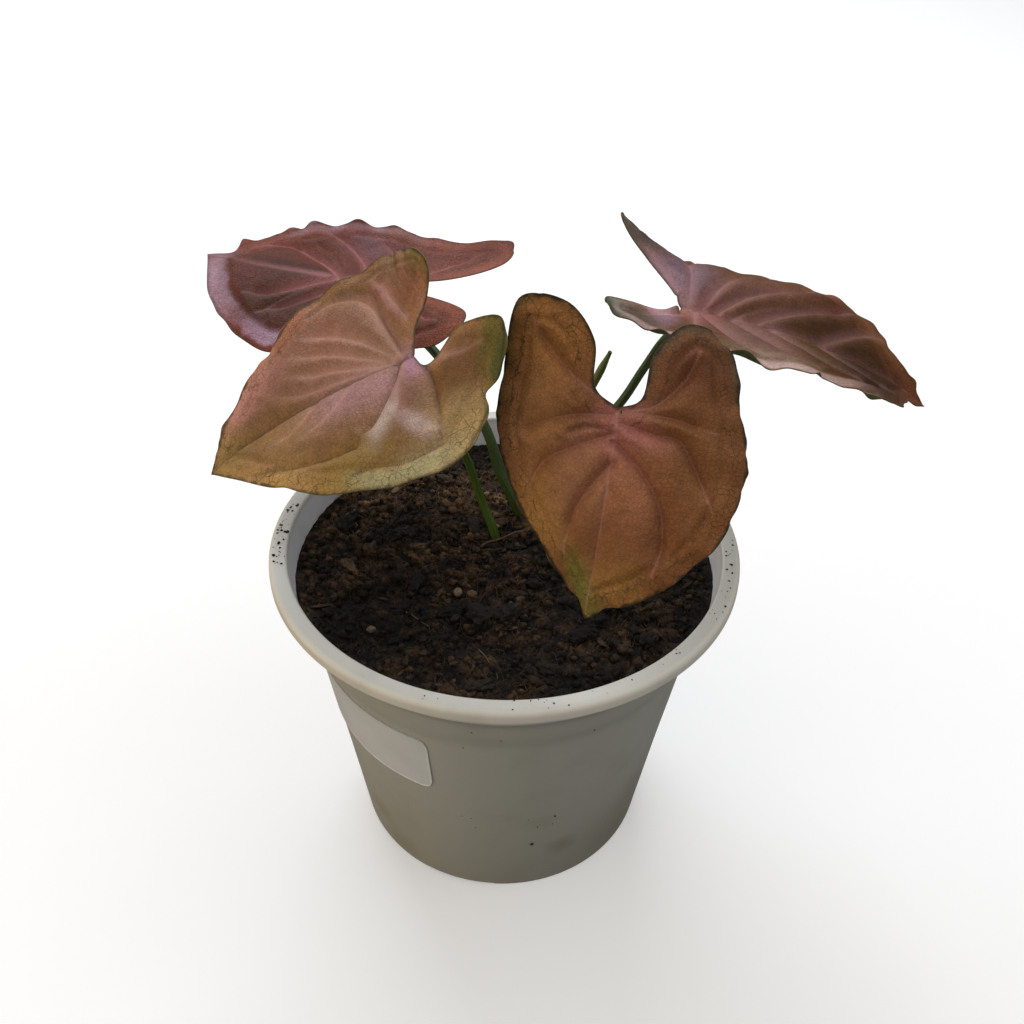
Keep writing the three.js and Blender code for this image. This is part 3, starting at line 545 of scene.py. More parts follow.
def rounded(outline):
    """An open outline of (radius, z, rounding) with its inner corners rounded."""
    corners = [np.array(corner[:2], float) for corner in outline]
    points = [corners[0]]
    for before, corner, after, (*_, rounding) in zip(corners, corners[1:], corners[2:], outline[1:]):
        back, ahead = before - corner, after - corner
        reach = min(rounding, 0.49 * np.linalg.norm(back), 0.49 * np.linalg.norm(ahead))
        start = corner + back / np.linalg.norm(back) * reach
        end = corner + ahead / np.linalg.norm(ahead) * reach
        for t in np.linspace(0, 1, CORNER_STEPS):
            points.append((1 - t) ** 2 * start + 2 * t * (1 - t) * corner + t * t * end)
    points.append(corners[-1])
    return points


# Materials

class Shader:
    """A short way to write a node material round one Principled shader."""

    def __init__(self, name, roughness=0.5):
        self.material = bpy.data.materials.new(name)
        self.material.use_nodes = True
        self.tree = self.material.node_tree
        self.surface = self.tree.nodes["Principled BSDF"]
        self.surface.inputs["Roughness"].default_value = roughness

    def node(self, kind, inputs=None, **settings):
        node = self.tree.nodes.new("ShaderNode" + kind)
        for key, value in settings.items():
            setattr(node, key, value)
        for key, value in (inputs or {}).items():
            self.put(value, node.inputs[key])
        return node

    def put(self, value, socket):
        if isinstance(value, bpy.types.NodeSocket):
            self.tree.links.new(value, socket)
        elif isinstance(value, tuple) and len(value) == 3 and socket.type == "RGBA":
            socket.default_value = (*value, 1)
        else:
            socket.default_value = value

    def attribute(self, name, output="Fac"):
        return self.node("Attribute", attribute_name=name).outputs[output]

    def place(self):
        return self.node("TexCoord").outputs["Object"]

    def noise(self, where, scale, detail=3.0, roughness=0.5):
        inputs = {"Vector": where, "Scale": scale, "Detail": detail, "Roughness": roughness}
        return self.node("TexNoise", inputs).outputs["Fac"]

    def cells(self, where, scale, feature="F1"):
        node = self.node("TexVoronoi", {"Vector": where, "Scale": scale}, feature=feature)
        return node.outputs["Distance"]

    def math(self, operation, a, b=0.0):
        return self.node("Math", {0: a, 1: b}, operation=operation).outputs[0]

    def fit(self, value, low, high, to_low=0.0, to_high=1.0):
        inputs = {"Value": value, "From Min": low, "From Max": high, "To Min": to_low, "To Max": to_high}
        return self.node("MapRange", inputs).outputs["Result"]

    def times(self, a, b):
        return self.math("MULTIPLY", a, b)

    def mix(self, factor, a, b):
        node = self.node("Mix", data_type="RGBA")
        self.put(factor, node.inputs["Factor"])
        self.put(a, node.inputs[6])
        self.put(b, node.inputs[7])
        return node.outputs[2]

    def scaled(self, color, factor):
        return self.node("VectorMath", {0: color, "Scale": factor}, operation="SCALE").outputs[0]

    def bump(self, height, strength, distance):
        inputs = {"Height": height, "Strength": strength, "Distance": distance}
        self.put(self.node("Bump", inputs).outputs["Normal"], self.surface.inputs["Normal"])

    def translucent(self, weight, reach):
        self.surface.inputs["Subsurface Weight"].default_value = weight
        self.surface.inputs["Subsurface Radius"].default_value = reach

    def finish(self, color, roughness=None):
        self.put(color, self.surface.inputs["Base Color"])
        if roughness is not None:
            self.put(roughness, self.surface.inputs["Roughness"])
        return self.material


def plastic_material():
    shader = Shader("pot_plastic")
    place = shader.place()
    height = shader.node("SeparateXYZ", {0: place}).outputs["Z"]
    level = shader.node("VectorMath", {0: place, 1: (1, 1, 0)}, operation="MULTIPLY").outputs[0]
    radius = shader.node("VectorMath", {0: level}, operation="LENGTH").outputs["Value"]
    broad = shader.noise(place, 14, 4)
    # Painted light: the rim's top is made lighter where light falls on it.
    rim_top_light = shader.fit(height, *((POT_HEIGHT - depth) * MM for depth in RIM_ZONE))
    # Painted light: the inside of the neck is made pale and bluish for light glowing through the thin
    # plastic.
    leaning = shader.math("SUBTRACT", radius, shader.times(height, CONE_SLOPE))
    within = shader.times(shader.fit(leaning, *ZONES["cone"]), shader.fit(radius, *ZONES["mouth"]))
    inside = shader.times(within, shader.fit(height, *ZONES["neck"]))
    # Painted highlight: the lip's rounded outer edge is made light beige.
    lip_side = shader.fit(radius, *ZONES["lip_side"])
    outer_edge_highlight = shader.times(lip_side, shader.fit(height, *ZONES["lip_height"]))
    foot = shader.times(shader.fit(height, *ZONES["foot"]), 0.45)
    smudge = shader.times(shader.fit(shader.noise(place, 38, 6, 0.6), 0.52, 0.78), 0.35)
    color = shader.mix(shader.fit(broad, *NOISE_RANGE), PLASTIC["light"], PLASTIC["dark"])
    color = shader.mix(rim_top_light, color, PLASTIC["rim"])
    color = shader.mix(inside, color, PLASTIC["inside"])
    color = shader.mix(outer_edge_highlight, color, PLASTIC["outer_edge_highlight"])
    color = shader.mix(foot, color, PLASTIC["foot"])
    color = shader.mix(smudge, color, PLASTIC["smudge"])
    for azimuth, z, size, strength in WALL_STAINS:
        angle = math.radians(azimuth)
        spot = (wall_radius(z) * math.sin(angle) * MM, -wall_radius(z) * math.cos(angle) * MM, z * MM)
        away = shader.node("VectorMath", {0: place, 1: spot}, operation="DISTANCE").outputs["Value"]
        color = shader.mix(shader.times(shader.fit(away, size * MM, 0.0), strength), color, PLASTIC["stain"])
    shader.bump(shader.noise(place, 900, 2), 0.12, 0.0002)
    shader.translucent(0.08, (0.004, 0.003, 0.002))
    return shader.finish(color, shader.fit(broad, *NOISE_RANGE, 0.36, 0.48))


def paper_material():
    shader = Shader("label_paper")
    place = shader.place()
    color = shader.mix(shader.fit(shader.noise(place, 60, 4), 0.35, 0.7), PAPER["light"], PAPER["dark"])
    shader.bump(shader.noise(place, 1600, 3), 0.08, 0.0001)
    return shader.finish(color, 0.38)


def soil_material():
    """Brown in clouds, black where its tone is low, with flecks, and painted light that makes it lighter
    towards the window at the back.
    """
    shader = Shader("soil", 0.9)
    place = shader.place()
    region = shader.fit(shader.noise(place, 45, 4, 0.6), 0.38, 0.62)
    brown = shader.mix(region, SOIL_COLORS["dark"], SOIL_COLORS["brown"])
    color = shader.mix(shader.fit(shader.attribute("tone"), 0, 1), SOIL_COLORS["black"], brown)
    grain = shader.noise(place, 900, 6, 0.75)
    color = shader.scaled(color, shader.fit(grain, *NOISE_RANGE, 0.25, 2.0))
    fleck = shader.fit(shader.noise(place, 1300, 2), 0.66, 0.72)
    color = shader.mix(shader.times(fleck, 0.45), color, SOIL_COLORS["fleck"])
    # Painted light: brighter towards the window at the back, from 0.85 to 2.3 times.
    depth = shader.node("SeparateXYZ", {0: place}).outputs["Y"]
    color = shader.scaled(color, shader.fit(depth, -0.01, 0.05, 0.85, 2.3))
    color = shader.mix(shader.attribute("pale"), color, SOIL_COLORS["pale"])
    shader.bump(grain, 0.8, 0.0008)
    shader.surface.inputs["Specular IOR Level"].default_value = 0.25
    return shader.finish(color, shader.fit(grain, *NOISE_RANGE, 0.95, 0.7))


def stem_material(name, dark, light):
    shader = Shader(name, 0.38)
    streak = shader.noise(shader.attribute("flat", "Vector"), 1.2, 4)
    color = shader.mix(shader.fit(streak, 0.35, 0.65), dark, light)
    color = shader.mix(shader.fit(shader.attribute("along"), 0.0, 0.12, 0.5, 0.0), color, STEM_FOOT)
    shader.bump(shader.noise(shader.place(), 1200, 2), 0.1, 0.0002)
    shader.surface.inputs["Coat Weight"].default_value = 0.15
    return shader.finish(color)


def leaf_material(name, net_color, vein_color, gloss, seam, shine):
    """The blade's tint with mottling, a dark net, a broken seam, veins, painted shade in the creases, dots
    and an underside.
    """
    shader = Shader(name)
    flat = shader.attribute("flat", "Vector")
    mottle = shader.noise(flat, 0.28, 6, 0.68)
    grain = shader.noise(flat, 1.7, 5, 0.7)
    color = shader.scaled(shader.attribute("tint", "Color"), shader.fit(mottle, *NOISE_RANGE, 0.8, 1.2))
    color = shader.scaled(color, shader.fit(grain, *NOISE_RANGE, 0.82, 1.2))
    wander = shader.node("TexNoise", {"Vector": flat, "Scale": 0.6, "Detail": 3.0}).outputs["Color"]
    warped = shader.node("VectorMath", {0: flat, 1: wander}, operation="ADD").outputs[0]
    mesh = shader.fit(shader.cells(warped, 0.36, "DISTANCE_TO_EDGE"), 0.0, 0.045, 1.0, 0.0)
    patchy = shader.fit(shader.noise(flat, 0.13, 2), 0.36, 0.52)
    net = shader.times(shader.times(mesh, shader.attribute("net")), patchy)
    winding = shader.fit(shader.noise(flat, 0.25, 3), 0.25, 0.75, 3.2, 6.0)
    off = shader.math("ABSOLUTE", shader.math("SUBTRACT", shader.attribute("margin"), winding))
    broken = shader.fit(shader.noise(flat, 0.19, 1), 0.48, 0.56, 0.0, 0.75)
    line = shader.times(shader.fit(off, 0.32, 0.1), broken)
    net = shader.math("MAXIMUM", net, shader.times(line, seam))
    color = shader.mix(shader.times(net, 0.8), color, net_color)
    fine_net = shader.fit(shader.cells(warped, 0.85, "DISTANCE_TO_EDGE"), 0.0, 0.14, 1.0, 0.0)
    color = shader.scaled(color, shader.fit(fine_net, 0.0, 1.0, 1.04, 0.82))
    color = shader.mix(shader.times(shader.attribute("vein"), 0.7), color, vein_color)
    # Painted shade: the creases darken the colour down to 0.3.
    color = shader.scaled(color, shader.fit(shader.attribute("crease_shade"), 0.0, 1.0, 1.0, 0.3))
    color = shader.mix(shader.attribute("edge"), color, net_color)
    color = shader.mix(shader.fit(shader.cells(flat, 0.55), 0.04, 0.07, 0.3, 0.0), color, LEAF_DOTS)
    underside = shader.mix(shader.fit(mottle, *NOISE_RANGE), UNDERSIDE["dark"], UNDERSIDE["light"])
    color = shader.mix(shader.attribute("under"), color, underside)
    shader.bump(shader.math("ADD", shader.times(fine_net, -0.6), grain), 0.45, 0.0004)
    shader.surface.inputs["Specular IOR Level"].default_value = shine
    shader.translucent(0.05, (0.002, 0.0008, 0.0004))
    return shader.finish(color, shader.fit(grain, *NOISE_RANGE, gloss, gloss + 0.12))


# Pot

def pot_profile():
    """The pot's section, from the axis under its pad round the lip to the axis on its floor."""
    lip_foot = POT_HEIGHT - LIP_DEPTH
    plate = POT_HEIGHT - POT_WALL
    floor = FLOOR_RISE + FLOOR_THICKNESS
    foot = [
        (0, 0, 0), (PAD_RADIUS, 0, 0.6), (PAD_RADIUS + 2, FLOOR_RISE, 0.8),
        (FOOT_RING_INNER - 2, FLOOR_RISE, 0.8), (FOOT_RING_INNER, 0, 0.6), (FOOT_RADIUS - 0.5, 0, 0.5),
        (FOOT_RADIUS, 1.2, 1.2),
    ]
    lip = [
        (RIM_TOP[0], plate, 0.8), (LIP_RADIUS - POT_WALL, plate, 0.8),
        (LIP_RADIUS - POT_WALL, lip_foot, 0.4), (LIP_RADIUS, lip_foot, 0.35),
        (LIP_RADIUS, POT_HEIGHT, 2.9), (MOUTH_RADIUS + 0.2, POT_HEIGHT - 0.1, 0.9),
    ]
    inside = [
        (48, floor, 0.8), (PAD_RADIUS + 3, floor, 0.8), (PAD_RADIUS + 1, FLOOR_THICKNESS, 0.8),
        (0, FLOOR_THICKNESS, 0),
    ]
    return rounded([*foot, *OUTER_WALL, *lip, *INNER_WALL, *inside])


def drain_cutter(angle):
    """A post that cuts one drain hole."""
    x = DRAIN_HOLES["ring"] * math.cos(angle) * MM
    y = DRAIN_HOLES["ring"] * math.sin(angle) * MM
    bpy.ops.mesh.primitive_cylinder_add(
        vertices=DRAIN_HOLES["sides"], radius=DRAIN_HOLES["radius"] * MM, depth=DRAIN_HOLES["cut"] * MM,
        location=(x, y, DRAIN_HOLES["middle"] * MM))
    return bpy.context.object


def make_pot():
    points, faces = lathe(pot_profile(), POT_SEGMENTS)
    azimuth = np.degrees(np.arctan2(points[:, 0], -points[:, 1]))
    spacing = 360 / FOOT_NOTCHES["count"]
    off = np.abs((azimuth - FOOT_NOTCHES["first"] + spacing / 2) % spacing - spacing / 2)
    half_angle = FOOT_NOTCHES["half_angle"]
    notch = FOOT_NOTCHES["height"] * (1 - smoothstep(half_angle - 1, half_angle + 1, off))
    radius = np.hypot(points[:, 0], points[:, 1])
    ring = (points[:, 2] < FOOT_NOTCHES["height"]) & (radius > FOOT_RING_INNER - 2)
    points[ring, 2] = np.maximum(points[ring, 2], notch[ring])
    pot = add_piece("pot_shell", points, faces, plastic_material(), ["pot"])
    cutters = [drain_cutter(2 * math.pi * i / DRAIN_HOLES["count"]) for i in range(DRAIN_HOLES["count"])]
    for cutter in cutters:
        modifier = pot.modifiers.new("hole", "BOOLEAN")
        modifier.operation = "DIFFERENCE"
        modifier.solver = "EXACT"
        modifier.object = cutter
    apply_modifiers(pot)
    for cutter in cutters:
        bpy.data.objects.remove(cutter, do_unlink=True)


def apply_modifiers(piece):
    """The piece's mesh with its modifiers worked in."""
    graph = bpy.context.evaluated_depsgraph_get()
    mesh = bpy.data.meshes.new_from_object(piece.evaluated_get(graph))
    piece.modifiers.clear()
    piece.data = mesh


def wall_radius(z):
    """Radius of the wall's straight part, under the neck."""
    return FOOT_RADIUS + (z - FOOT_EDGE) / (WALL_TOP[1] - FOOT_EDGE) * (WALL_TOP[0] - FOOT_RADIUS)


def make_label():
    """The sticker follows the wall; its corners are rounded by shortening the end columns."""
    columns, rows = LABEL["columns"], LABEL["rows"]
    width, height, corner = LABEL["width"], LABEL["height"], LABEL["corner"]
    across = np.linspace(0, width, columns)
    inset = np.maximum(0, corner - np.minimum(across, width - across))
    cut = corner - np.sqrt(np.maximum(0, corner ** 2 - inset ** 2))
    low = LABEL["top_z"] - height + cut
    high = LABEL["top_z"] - cut
    up = np.linspace(0, 1, rows)
    z = low[:, None] + (high - low)[:, None] * up
    azimuth = math.radians(LABEL["right_azimuth"]) - across / wall_radius(LABEL["top_z"] - height / 2)
    sheets = []
    for lift in (LABEL["gap"] + LABEL["thickness"], LABEL["gap"]):
        radius = wall_radius(z) + lift
        sheets.append(np.stack([
            radius * np.sin(azimuth)[:, None], -radius * np.cos(azimuth)[:, None], z], -1).reshape(-1, 3))
    under = columns * rows
    faces = np.vstack([grid_faces(columns, rows, flip=True), grid_faces(columns, rows, offset=under)])
    rim = np.concatenate([
        np.arange(rows), np.arange(1, columns) * rows + rows - 1,
        (columns - 1) * rows + np.arange(rows - 2, -1, -1), np.arange(columns - 2, 0, -1) * rows])
    after = np.roll(rim, -1)
    faces = np.vstack([faces, np.stack([rim, after, after + under, rim + under], -1)])
    add_piece("label_sheet", np.vstack(sheets), faces, paper_material(), ["label"])


# Soil

def soil_lump(x, y):
    """The solids' own lumps: bumps and dips on a sunflower spiral."""
    height = np.zeros_like(x)
    beat, slow_beat = SOIL_LUMPS["beats"]
    for i in range(SOIL_LUMPS["count"]):
        reach = SOIL_LUMPS["reach"] * math.sqrt((i + 0.5) / SOIL_LUMPS["count"])
        dx = x - reach * math.cos(i * GOLDEN_ANGLE)
        dy = y - reach * math.sin(i * GOLDEN_ANGLE)
        size = SOIL_LUMPS["height"] * math.sin(i * beat + 1) * math.cos(i * slow_beat)
        height += size * np.exp(-(dx * dx + dy * dy) / (2 * SOIL_LUMPS["spread"] ** 2))
    return height


def crumble(x, y, relief):
    height, scale, seed, middle = relief
    return height * (noise.turbulence(Vector((x * scale, y * scale, seed)), 3, True) - middle)


def soil_height(x, y):
    """Height of the soil's surface: the broad lumps with crumbs and grain over them."""
    x, y = np.atleast_1d(np.asarray(x, float)), np.atleast_1d(np.asarray(y, float))
    height, scale, seed = SOIL_GRAIN
    crumbs = np.array([
        crumble(a, b, SOIL_CLODS) + crumble(a, b, SOIL_CRUMBLE)
        + height * noise.noise(Vector((a * scale, b * scale, seed)))
        for a, b in zip(x.ravel(), y.ravel())]).reshape(x.shape)
    outwards = np.clip(np.hypot(x, y) / SOIL_EDGE, 0, 1)
    fade = 1 - outwards ** 6
    return SOIL_LEVEL + fade * soil_lump(x, y) + crumbs * (1 - 0.5 * outwards ** 12)


def halved(points, faces):
    """Each triangle of a ball split in four; the new points are added to the list."""
    middles = {}

    def middle(a, b):
        key = (min(a, b), max(a, b))
        if key not in middles:
            middles[key] = len(points)
            points.append(((points[a] + points[b]) / 2).normalized())
        return middles[key]

    finer = []
    for a, b, c in faces:
        ab, bc, ca = middle(a, b), middle(b, c), middle(c, a)
        finer += [(a, ab, ca), (b, bc, ab), (c, ca, bc), (ab, bc, ca)]
    return finer


def crumb_shape(rng, detail, roughness=1.0):
    """Points and faces of one rough crumb about the origin, 1 across, from a ball of 20 triangles."""
    phi = (1 + math.sqrt(5)) / 2
    corners = [(-1, phi, 0), (1, phi, 0), (-1, -phi, 0), (1, -phi, 0), (0, -1, phi), (0, 1, phi),
               (0, -1, -phi), (0, 1, -phi), (phi, 0, -1), (phi, 0, 1), (-phi, 0, -1), (-phi, 0, 1)]
    faces = [(0, 11, 5), (0, 5, 1), (0, 1, 7), (0, 7, 10), (0, 10, 11), (1, 5, 9), (5, 11, 4), (11, 10, 2),
             (10, 7, 6), (7, 1, 8), (3, 9, 4), (3, 4, 2), (3, 2, 6), (3, 6, 8), (3, 8, 9), (4, 9, 5),
             (2, 4, 11), (6, 2, 10), (8, 6, 7), (9, 8, 1)]
    points = [Vector(corner).normalized() for corner in corners]
    for _ in range(detail):
        faces = halved(points, faces)
    shift = Vector(rng.uniform(-50, 50, 3))
    rough = []
    for point in points:
        lumps = 0.34 * noise.noise(point * 1.4 + shift) + 0.16 * noise.noise(point * 3.7 - shift)
        rough.append(point * (0.5 + roughness * lumps))
    return np.array(rough), np.array(faces)


def turn(rng, tilt):
    """A random turn about Z after a random tilt of at most so many radians."""
    lean = Matrix.Rotation(rng.uniform(-tilt, tilt), 3, "X")
    lean = lean @ Matrix.Rotation(rng.uniform(-tilt, tilt), 3, "Y")
    return np.array(Matrix.Rotation(rng.uniform(0, 2 * math.pi), 3, "Z") @ lean)


def soil_spot(rng, margin):
    """A random place on the soil, at least so far from its edge."""
    reach = (SOIL_EDGE - margin) * math.sqrt(rng.uniform())
    angle = rng.uniform(0, 2 * math.pi)
    return reach * math.cos(angle), reach * math.sin(angle)


def add_bits(name, bits, material):
    """Many small bits as one piece, each given as its points, faces, tone and paleness."""
    points, faces, tone, pale, count = [], [], [], [], 0
    for shape, shape_faces, bit_tone, bit_pale in bits:
        points.append(shape)
        faces.extend((shape_faces + count).tolist())
        tone.append(np.full(len(shape), bit_tone))
        pale.append(np.full(len(shape), bit_pale))
        count += len(shape)
    add_piece(name, np.vstack(points), faces, material,
              values=dict(tone=np.concatenate(tone), pale=np.concatenate(pale)))


def tube(path, radius, sides):
    """Points and triangles of a thin closed tube along a path of points."""
    tangents = np.gradient(path, axis=0)
    tangents /= np.linalg.norm(tangents, axis=1)[:, None]
    side = np.cross(tangents, [0.0, 0.0, 1.0])
    side /= np.linalg.norm(side, axis=1)[:, None] + 1e-9
    up = np.cross(side, tangents)
    angles = np.linspace(0, 2 * math.pi, sides, endpoint=False)
    ring = np.broadcast_to(radius, len(path))[:, None, None] * (
        side[:, None] * np.cos(angles)[None, :, None] + up[:, None] * np.sin(angles)[None, :, None])
    points = np.vstack([(path[:, None] + ring).reshape(-1, 3), path[:1], path[-1:]])
    quads = grid_faces(len(path), sides, wrap=True, flip=True).tolist()
    triangles = [corners for a, b, c, d in quads for corners in ((a, b, c), (a, c, d))]
    start, end = len(points) - 2, len(points) - 1
    last = (len(path) - 1) * sides
    triangles += [(start, (i + 1) % sides, i) for i in range(sides)]
    triangles += [(end, last + i, last + (i + 1) % sides) for i in range(sides)]
    return points, np.array(triangles)


def make_soil_body(material):
    angles = np.linspace(0, 2 * math.pi, SOIL_SEGMENTS, endpoint=False)
    radii = SOIL_EDGE * np.linspace(1, 0.002, SOIL_RINGS)
    x = radii[:, None] * np.cos(angles)
    y = radii[:, None] * np.sin(angles)
    top = np.stack([x, y, soil_height(x, y)], -1).reshape(-1, 3)
    sides = []
    for radius, z in [(0.2, SOIL_FLOOR), *SOIL_SIDE]:
        ring = [radius * np.cos(angles), radius * np.sin(angles), np.full(SOIL_SEGMENTS, z)]
        sides.append(np.stack(ring, -1))
    points = np.vstack([*sides, top])
    faces = grid_faces(SOIL_RINGS + len(sides), SOIL_SEGMENTS, wrap=True, flip=True)
    tone = [0.25 + 0.9 * noise.noise(Vector((a * 0.22, b * 0.22, c * 0.3))) for a, b, c in points.tolist()]
    add_piece("soil_body", points, faces, material, ["soil"],
              values=dict(tone=np.array(tone), pale=np.zeros(len(points))))


def drawn_size(rng, sizes):
    return sizes["least"] + sizes["spread"] * rng.uniform() ** sizes["bias"]


def strew_crumbs(rng, material):
    crumbs = []
    for _ in range(CRUMBS["count"]):
        size = drawn_size(rng, CRUMBS)
        x, y = soil_spot(rng, size / 2 + 0.4)
        shape, faces = crumb_shape(rng, 1 if size > CRUMBS["finer_over"] else 0)
        stretch = size * np.array([1, rng.uniform(0.6, 1), rng.uniform(0.5, 0.9)])
        shape = (shape * stretch) @ turn(rng, 0.7).T + [x, y, soil_height(x, y)[0] + 0.1 * size]
        crumbs.append((shape, faces, rng.uniform(-0.2, 0.9), 0.0))
    add_bits("soil_crumbs", crumbs, material)


def strew_chips(rng, material):
    chips = []
    for _ in range(CHIPS["count"]):
        length = drawn_size(rng, CHIPS)
        x, y = soil_spot(rng, 0.55 * length + 0.8)
        shape, faces = crumb_shape(rng, 2)
        stretch = [length, length * rng.uniform(0.22, 0.45), rng.uniform(0.5, 1.3)]
        shape = (shape * stretch) @ turn(rng, 0.35).T + [x, y, soil_height(x, y)[0] + 0.5]
        chips.append((shape, faces, rng.uniform(-0.1, 1.1), 0.0))
    add_bits("bark_chips", chips, material)


def strew_fibres(rng, material):
    fibres = []
    count = FIBRES["points"]
    for _ in range(FIBRES["count"]):
        length = rng.uniform(*FIBRES["length"])
        x, y = soil_spot(rng, 0.6 * length + 1)
        heading = rng.uniform(0, 2 * math.pi)
        along = np.linspace(-0.5, 0.5, count) * length
        angle = heading + rng.uniform(-FIBRES["bend"], FIBRES["bend"]) * along
        px = x + np.cumsum(np.cos(angle)) * length / count - np.cos(heading) * length / 2
        py = y + np.cumsum(np.sin(angle)) * length / count - np.sin(heading) * length / 2
        pz = soil_height(px, py) + 0.25 + 0.5 * rng.uniform() * np.sin(np.linspace(0, math.pi, count))
        shape, faces = tube(np.stack([px, py, pz], -1), rng.uniform(*FIBRES["radius"]), 4)
        fibres.append((shape, faces, rng.uniform(0.3, 1.3), 0.0))
    add_bits("soil_fibres", fibres, material)


def root_path(start, end, radius):
    """A root's middle line on the soil: bowed a little and smoothed over the crumbs."""
    (x0, y0), (x1, y1) = start, end
    t = np.linspace(0, 1, 40)
    length = math.hypot(x1 - x0, y1 - y0)
    bow = 0.07 * length * np.sin(math.pi * t) + 0.02 * length * np.sin(3.2 * math.pi * t)
    x = lerp(x0, x1, t) - bow * (y1 - y0) / length
    y = lerp(y0, y1, t) + bow * (x1 - x0) / length
    window = np.ones(9) / 9
    z = np.convolve(np.pad(soil_height(x, y), 4, mode="edge"), window, mode="valid") + radius + 0.3
    return t, np.stack([x, y, z], -1)


def make_soil_bits(material):
    rng = np.random.default_rng(SOIL_BITS_SEED)
    bits = []
    for x, y, length, width, height, heading, tone, pale in SOIL_BITS:
        shape, faces = crumb_shape(rng, 3, 0.35 if pale > PALE_BIT else 1.0)
        spun = np.array(Matrix.Rotation(math.radians(heading), 3, "Z"))
        ground = soil_height(np.array([x, x - 1.5, x + 1.5, x]), np.array([y, y, y, y + 1.5])).max()
        shape = (shape * [length, width, height]) @ spun.T + [x, y, ground + 0.3 * height]
        bits.append((shape, faces, tone, pale))
    for start, end, radius in SOIL_ROOTS:
        t, path = root_path(start, end, radius)
        shape, faces = tube(path, radius * (1 - 0.6 * t), 8)
        bits.append((shape, faces, 1.1, 0.22))
    add_bits("soil_bits", bits, material)


def dirt_speck(rng, azimuth, radius, z, size, on_wall):
    """A flat crumb lying on the rim, or standing on the wall and facing out."""
    shape, faces = crumb_shape(rng, 1)
    flat = np.array([1, rng.uniform(0.5, 1), 0.35]) * size
    shape = (shape * flat) @ np.array(Matrix.Rotation(rng.uniform(0, 6.3), 3, "Z")).T
    angle = math.radians(azimuth)
    out = Vector((math.sin(angle), -math.cos(angle), 0))
    up = Vector((0, 0, 1))
    spun = np.array(up.rotation_difference(out if on_wall else up).to_matrix())
    shape = shape @ spun.T + [radius * out.x, radius * out.y, z]
    return shape, faces, rng.uniform(-0.1, 0.5), WALL_DIRT_PALE if on_wall else 0.0


def make_dirt(material):
    rng = np.random.default_rng(DIRT_SEED)
    specks = []
    for first, last, count, largest in RIM_DIRT:
        for _ in range(count):
            size = LEAST_DIRT + (largest - LEAST_DIRT) * rng.uniform() ** 2
            azimuth, radius = rng.uniform(first, last), rng.uniform(*RIM_TOP)
            specks.append(dirt_speck(rng, azimuth, radius, POT_HEIGHT + 0.05 * size, size, False))
    neck_radii, neck_heights, _ = zip(*OUTER_WALL[1:])
    for azimuth, z, size in WALL_DIRT:
        radius = wall_radius(z) if z < WALL_TOP[1] else np.interp(z, neck_heights, neck_radii)
        specks.append(dirt_speck(rng, azimuth, radius + 0.03, z, 0.75 * size, True))
    add_bits("dirt_specks", specks, material)


def make_soil():
    material = soil_material()
    make_soil_body(material)
    rng = np.random.default_rng(STREWN_SEED)
    strew_crumbs(rng, material)
    strew_chips(rng, material)
    strew_fibres(rng, material)
    make_soil_bits(material)
    make_dirt(material)


# Leaves

def spline_points(points, stations):
    """Points on a uniform Catmull-Rom curve, at stations counted in points."""
    points = np.asarray(points, float)
    stations = np.asarray(stations, float)
    full = np.vstack([2 * points[0] - points[1], points, 2 * points[-1] - points[-2]])
    first = np.minimum(np.floor(stations).astype(int), len(points) - 2)
    t = (stations - first)[..., None]
    a, b, c, d = full[first], full[first + 1], full[first + 2], full[first + 3]
    square, cube = 2 * a - 5 * b + 4 * c - d, 3 * b - a - 3 * c + d
    return 0.5 * (2 * b + (c - a) * t + square * t * t + cube * t ** 3)


def arc_travel(distance, start, turning):
    """Distance along and rise after travelling an arc that starts at an angle and turns steadily."""
    rate = np.where(np.abs(turning) < 1e-7, 1e-7, turning)
    end = start + rate * distance
    return (np.sin(end) - np.sin(start)) / rate, (np.cos(start) - np.cos(end)) / rate


def bent_points(leaf, x, y, lift):
    """Flat leaf points bent into space, in the leaf's own frame, as the solids bend them."""
    right = 0.5 * (1 + np.tanh(x / FOLD_SOFTNESS))

    def mixed(pair):
        return np.radians(pair[0] * right + pair[1] * (1 - right))

    cup = mixed(leaf["cup"]) / (HALF_WIDTH_RATIO * leaf["length"])
    across, rise = arc_travel(np.abs(x), mixed(leaf["fold"]), cup)
    twist = math.radians(leaf["twist"]) * y / leaf["length"]
    height = rise + lift
    side = np.sign(x) * across
    sideways = side * np.cos(twist) + height * np.sin(twist)
    upright = height * np.cos(twist) - side * np.sin(twist)
    arch = math.radians(leaf["arch"]) / leaf["length"]
    bend = np.where(y > 0, arch, mixed(leaf["lobe"]) / (0.5 * leaf["length"]))
    along, drop = arc_travel(np.abs(y), 0.0, -bend)
    tilt = -bend * np.abs(y)
    forward = along - np.sin(tilt) * upright
    return np.stack([sideways, np.where(y > 0, forward, -forward), drop + np.cos(tilt) * upright], -1)


def leaf_axes(leaf):
    """The leaf's axes as rows: to its right, to its tip, out of its upper face."""
    heading, droop, roll = (math.radians(leaf[key]) for key in ("heading", "droop", "roll"))
    flat = math.cos(droop)
    tip = np.array([flat * math.cos(heading), flat * math.sin(heading), -math.sin(droop)])
    level = np.array([math.sin(heading), -math.cos(heading), 0.0])
    face = np.cross(level, tip)
    return np.array([
        level * math.cos(roll) - face * math.sin(roll), tip, level * math.sin(roll) + face * math.cos(roll)])


def half_outline(leaf, sign):
    """The margin of one half, from the notch round the lobe to the tip."""
    half = [(sign * x, y) for x, y in (leaf["right"] if sign > 0 else leaf["left"])]
    return np.array([(0, -leaf["notch"]), *half, (leaf["sweep"], leaf["length"])], float)


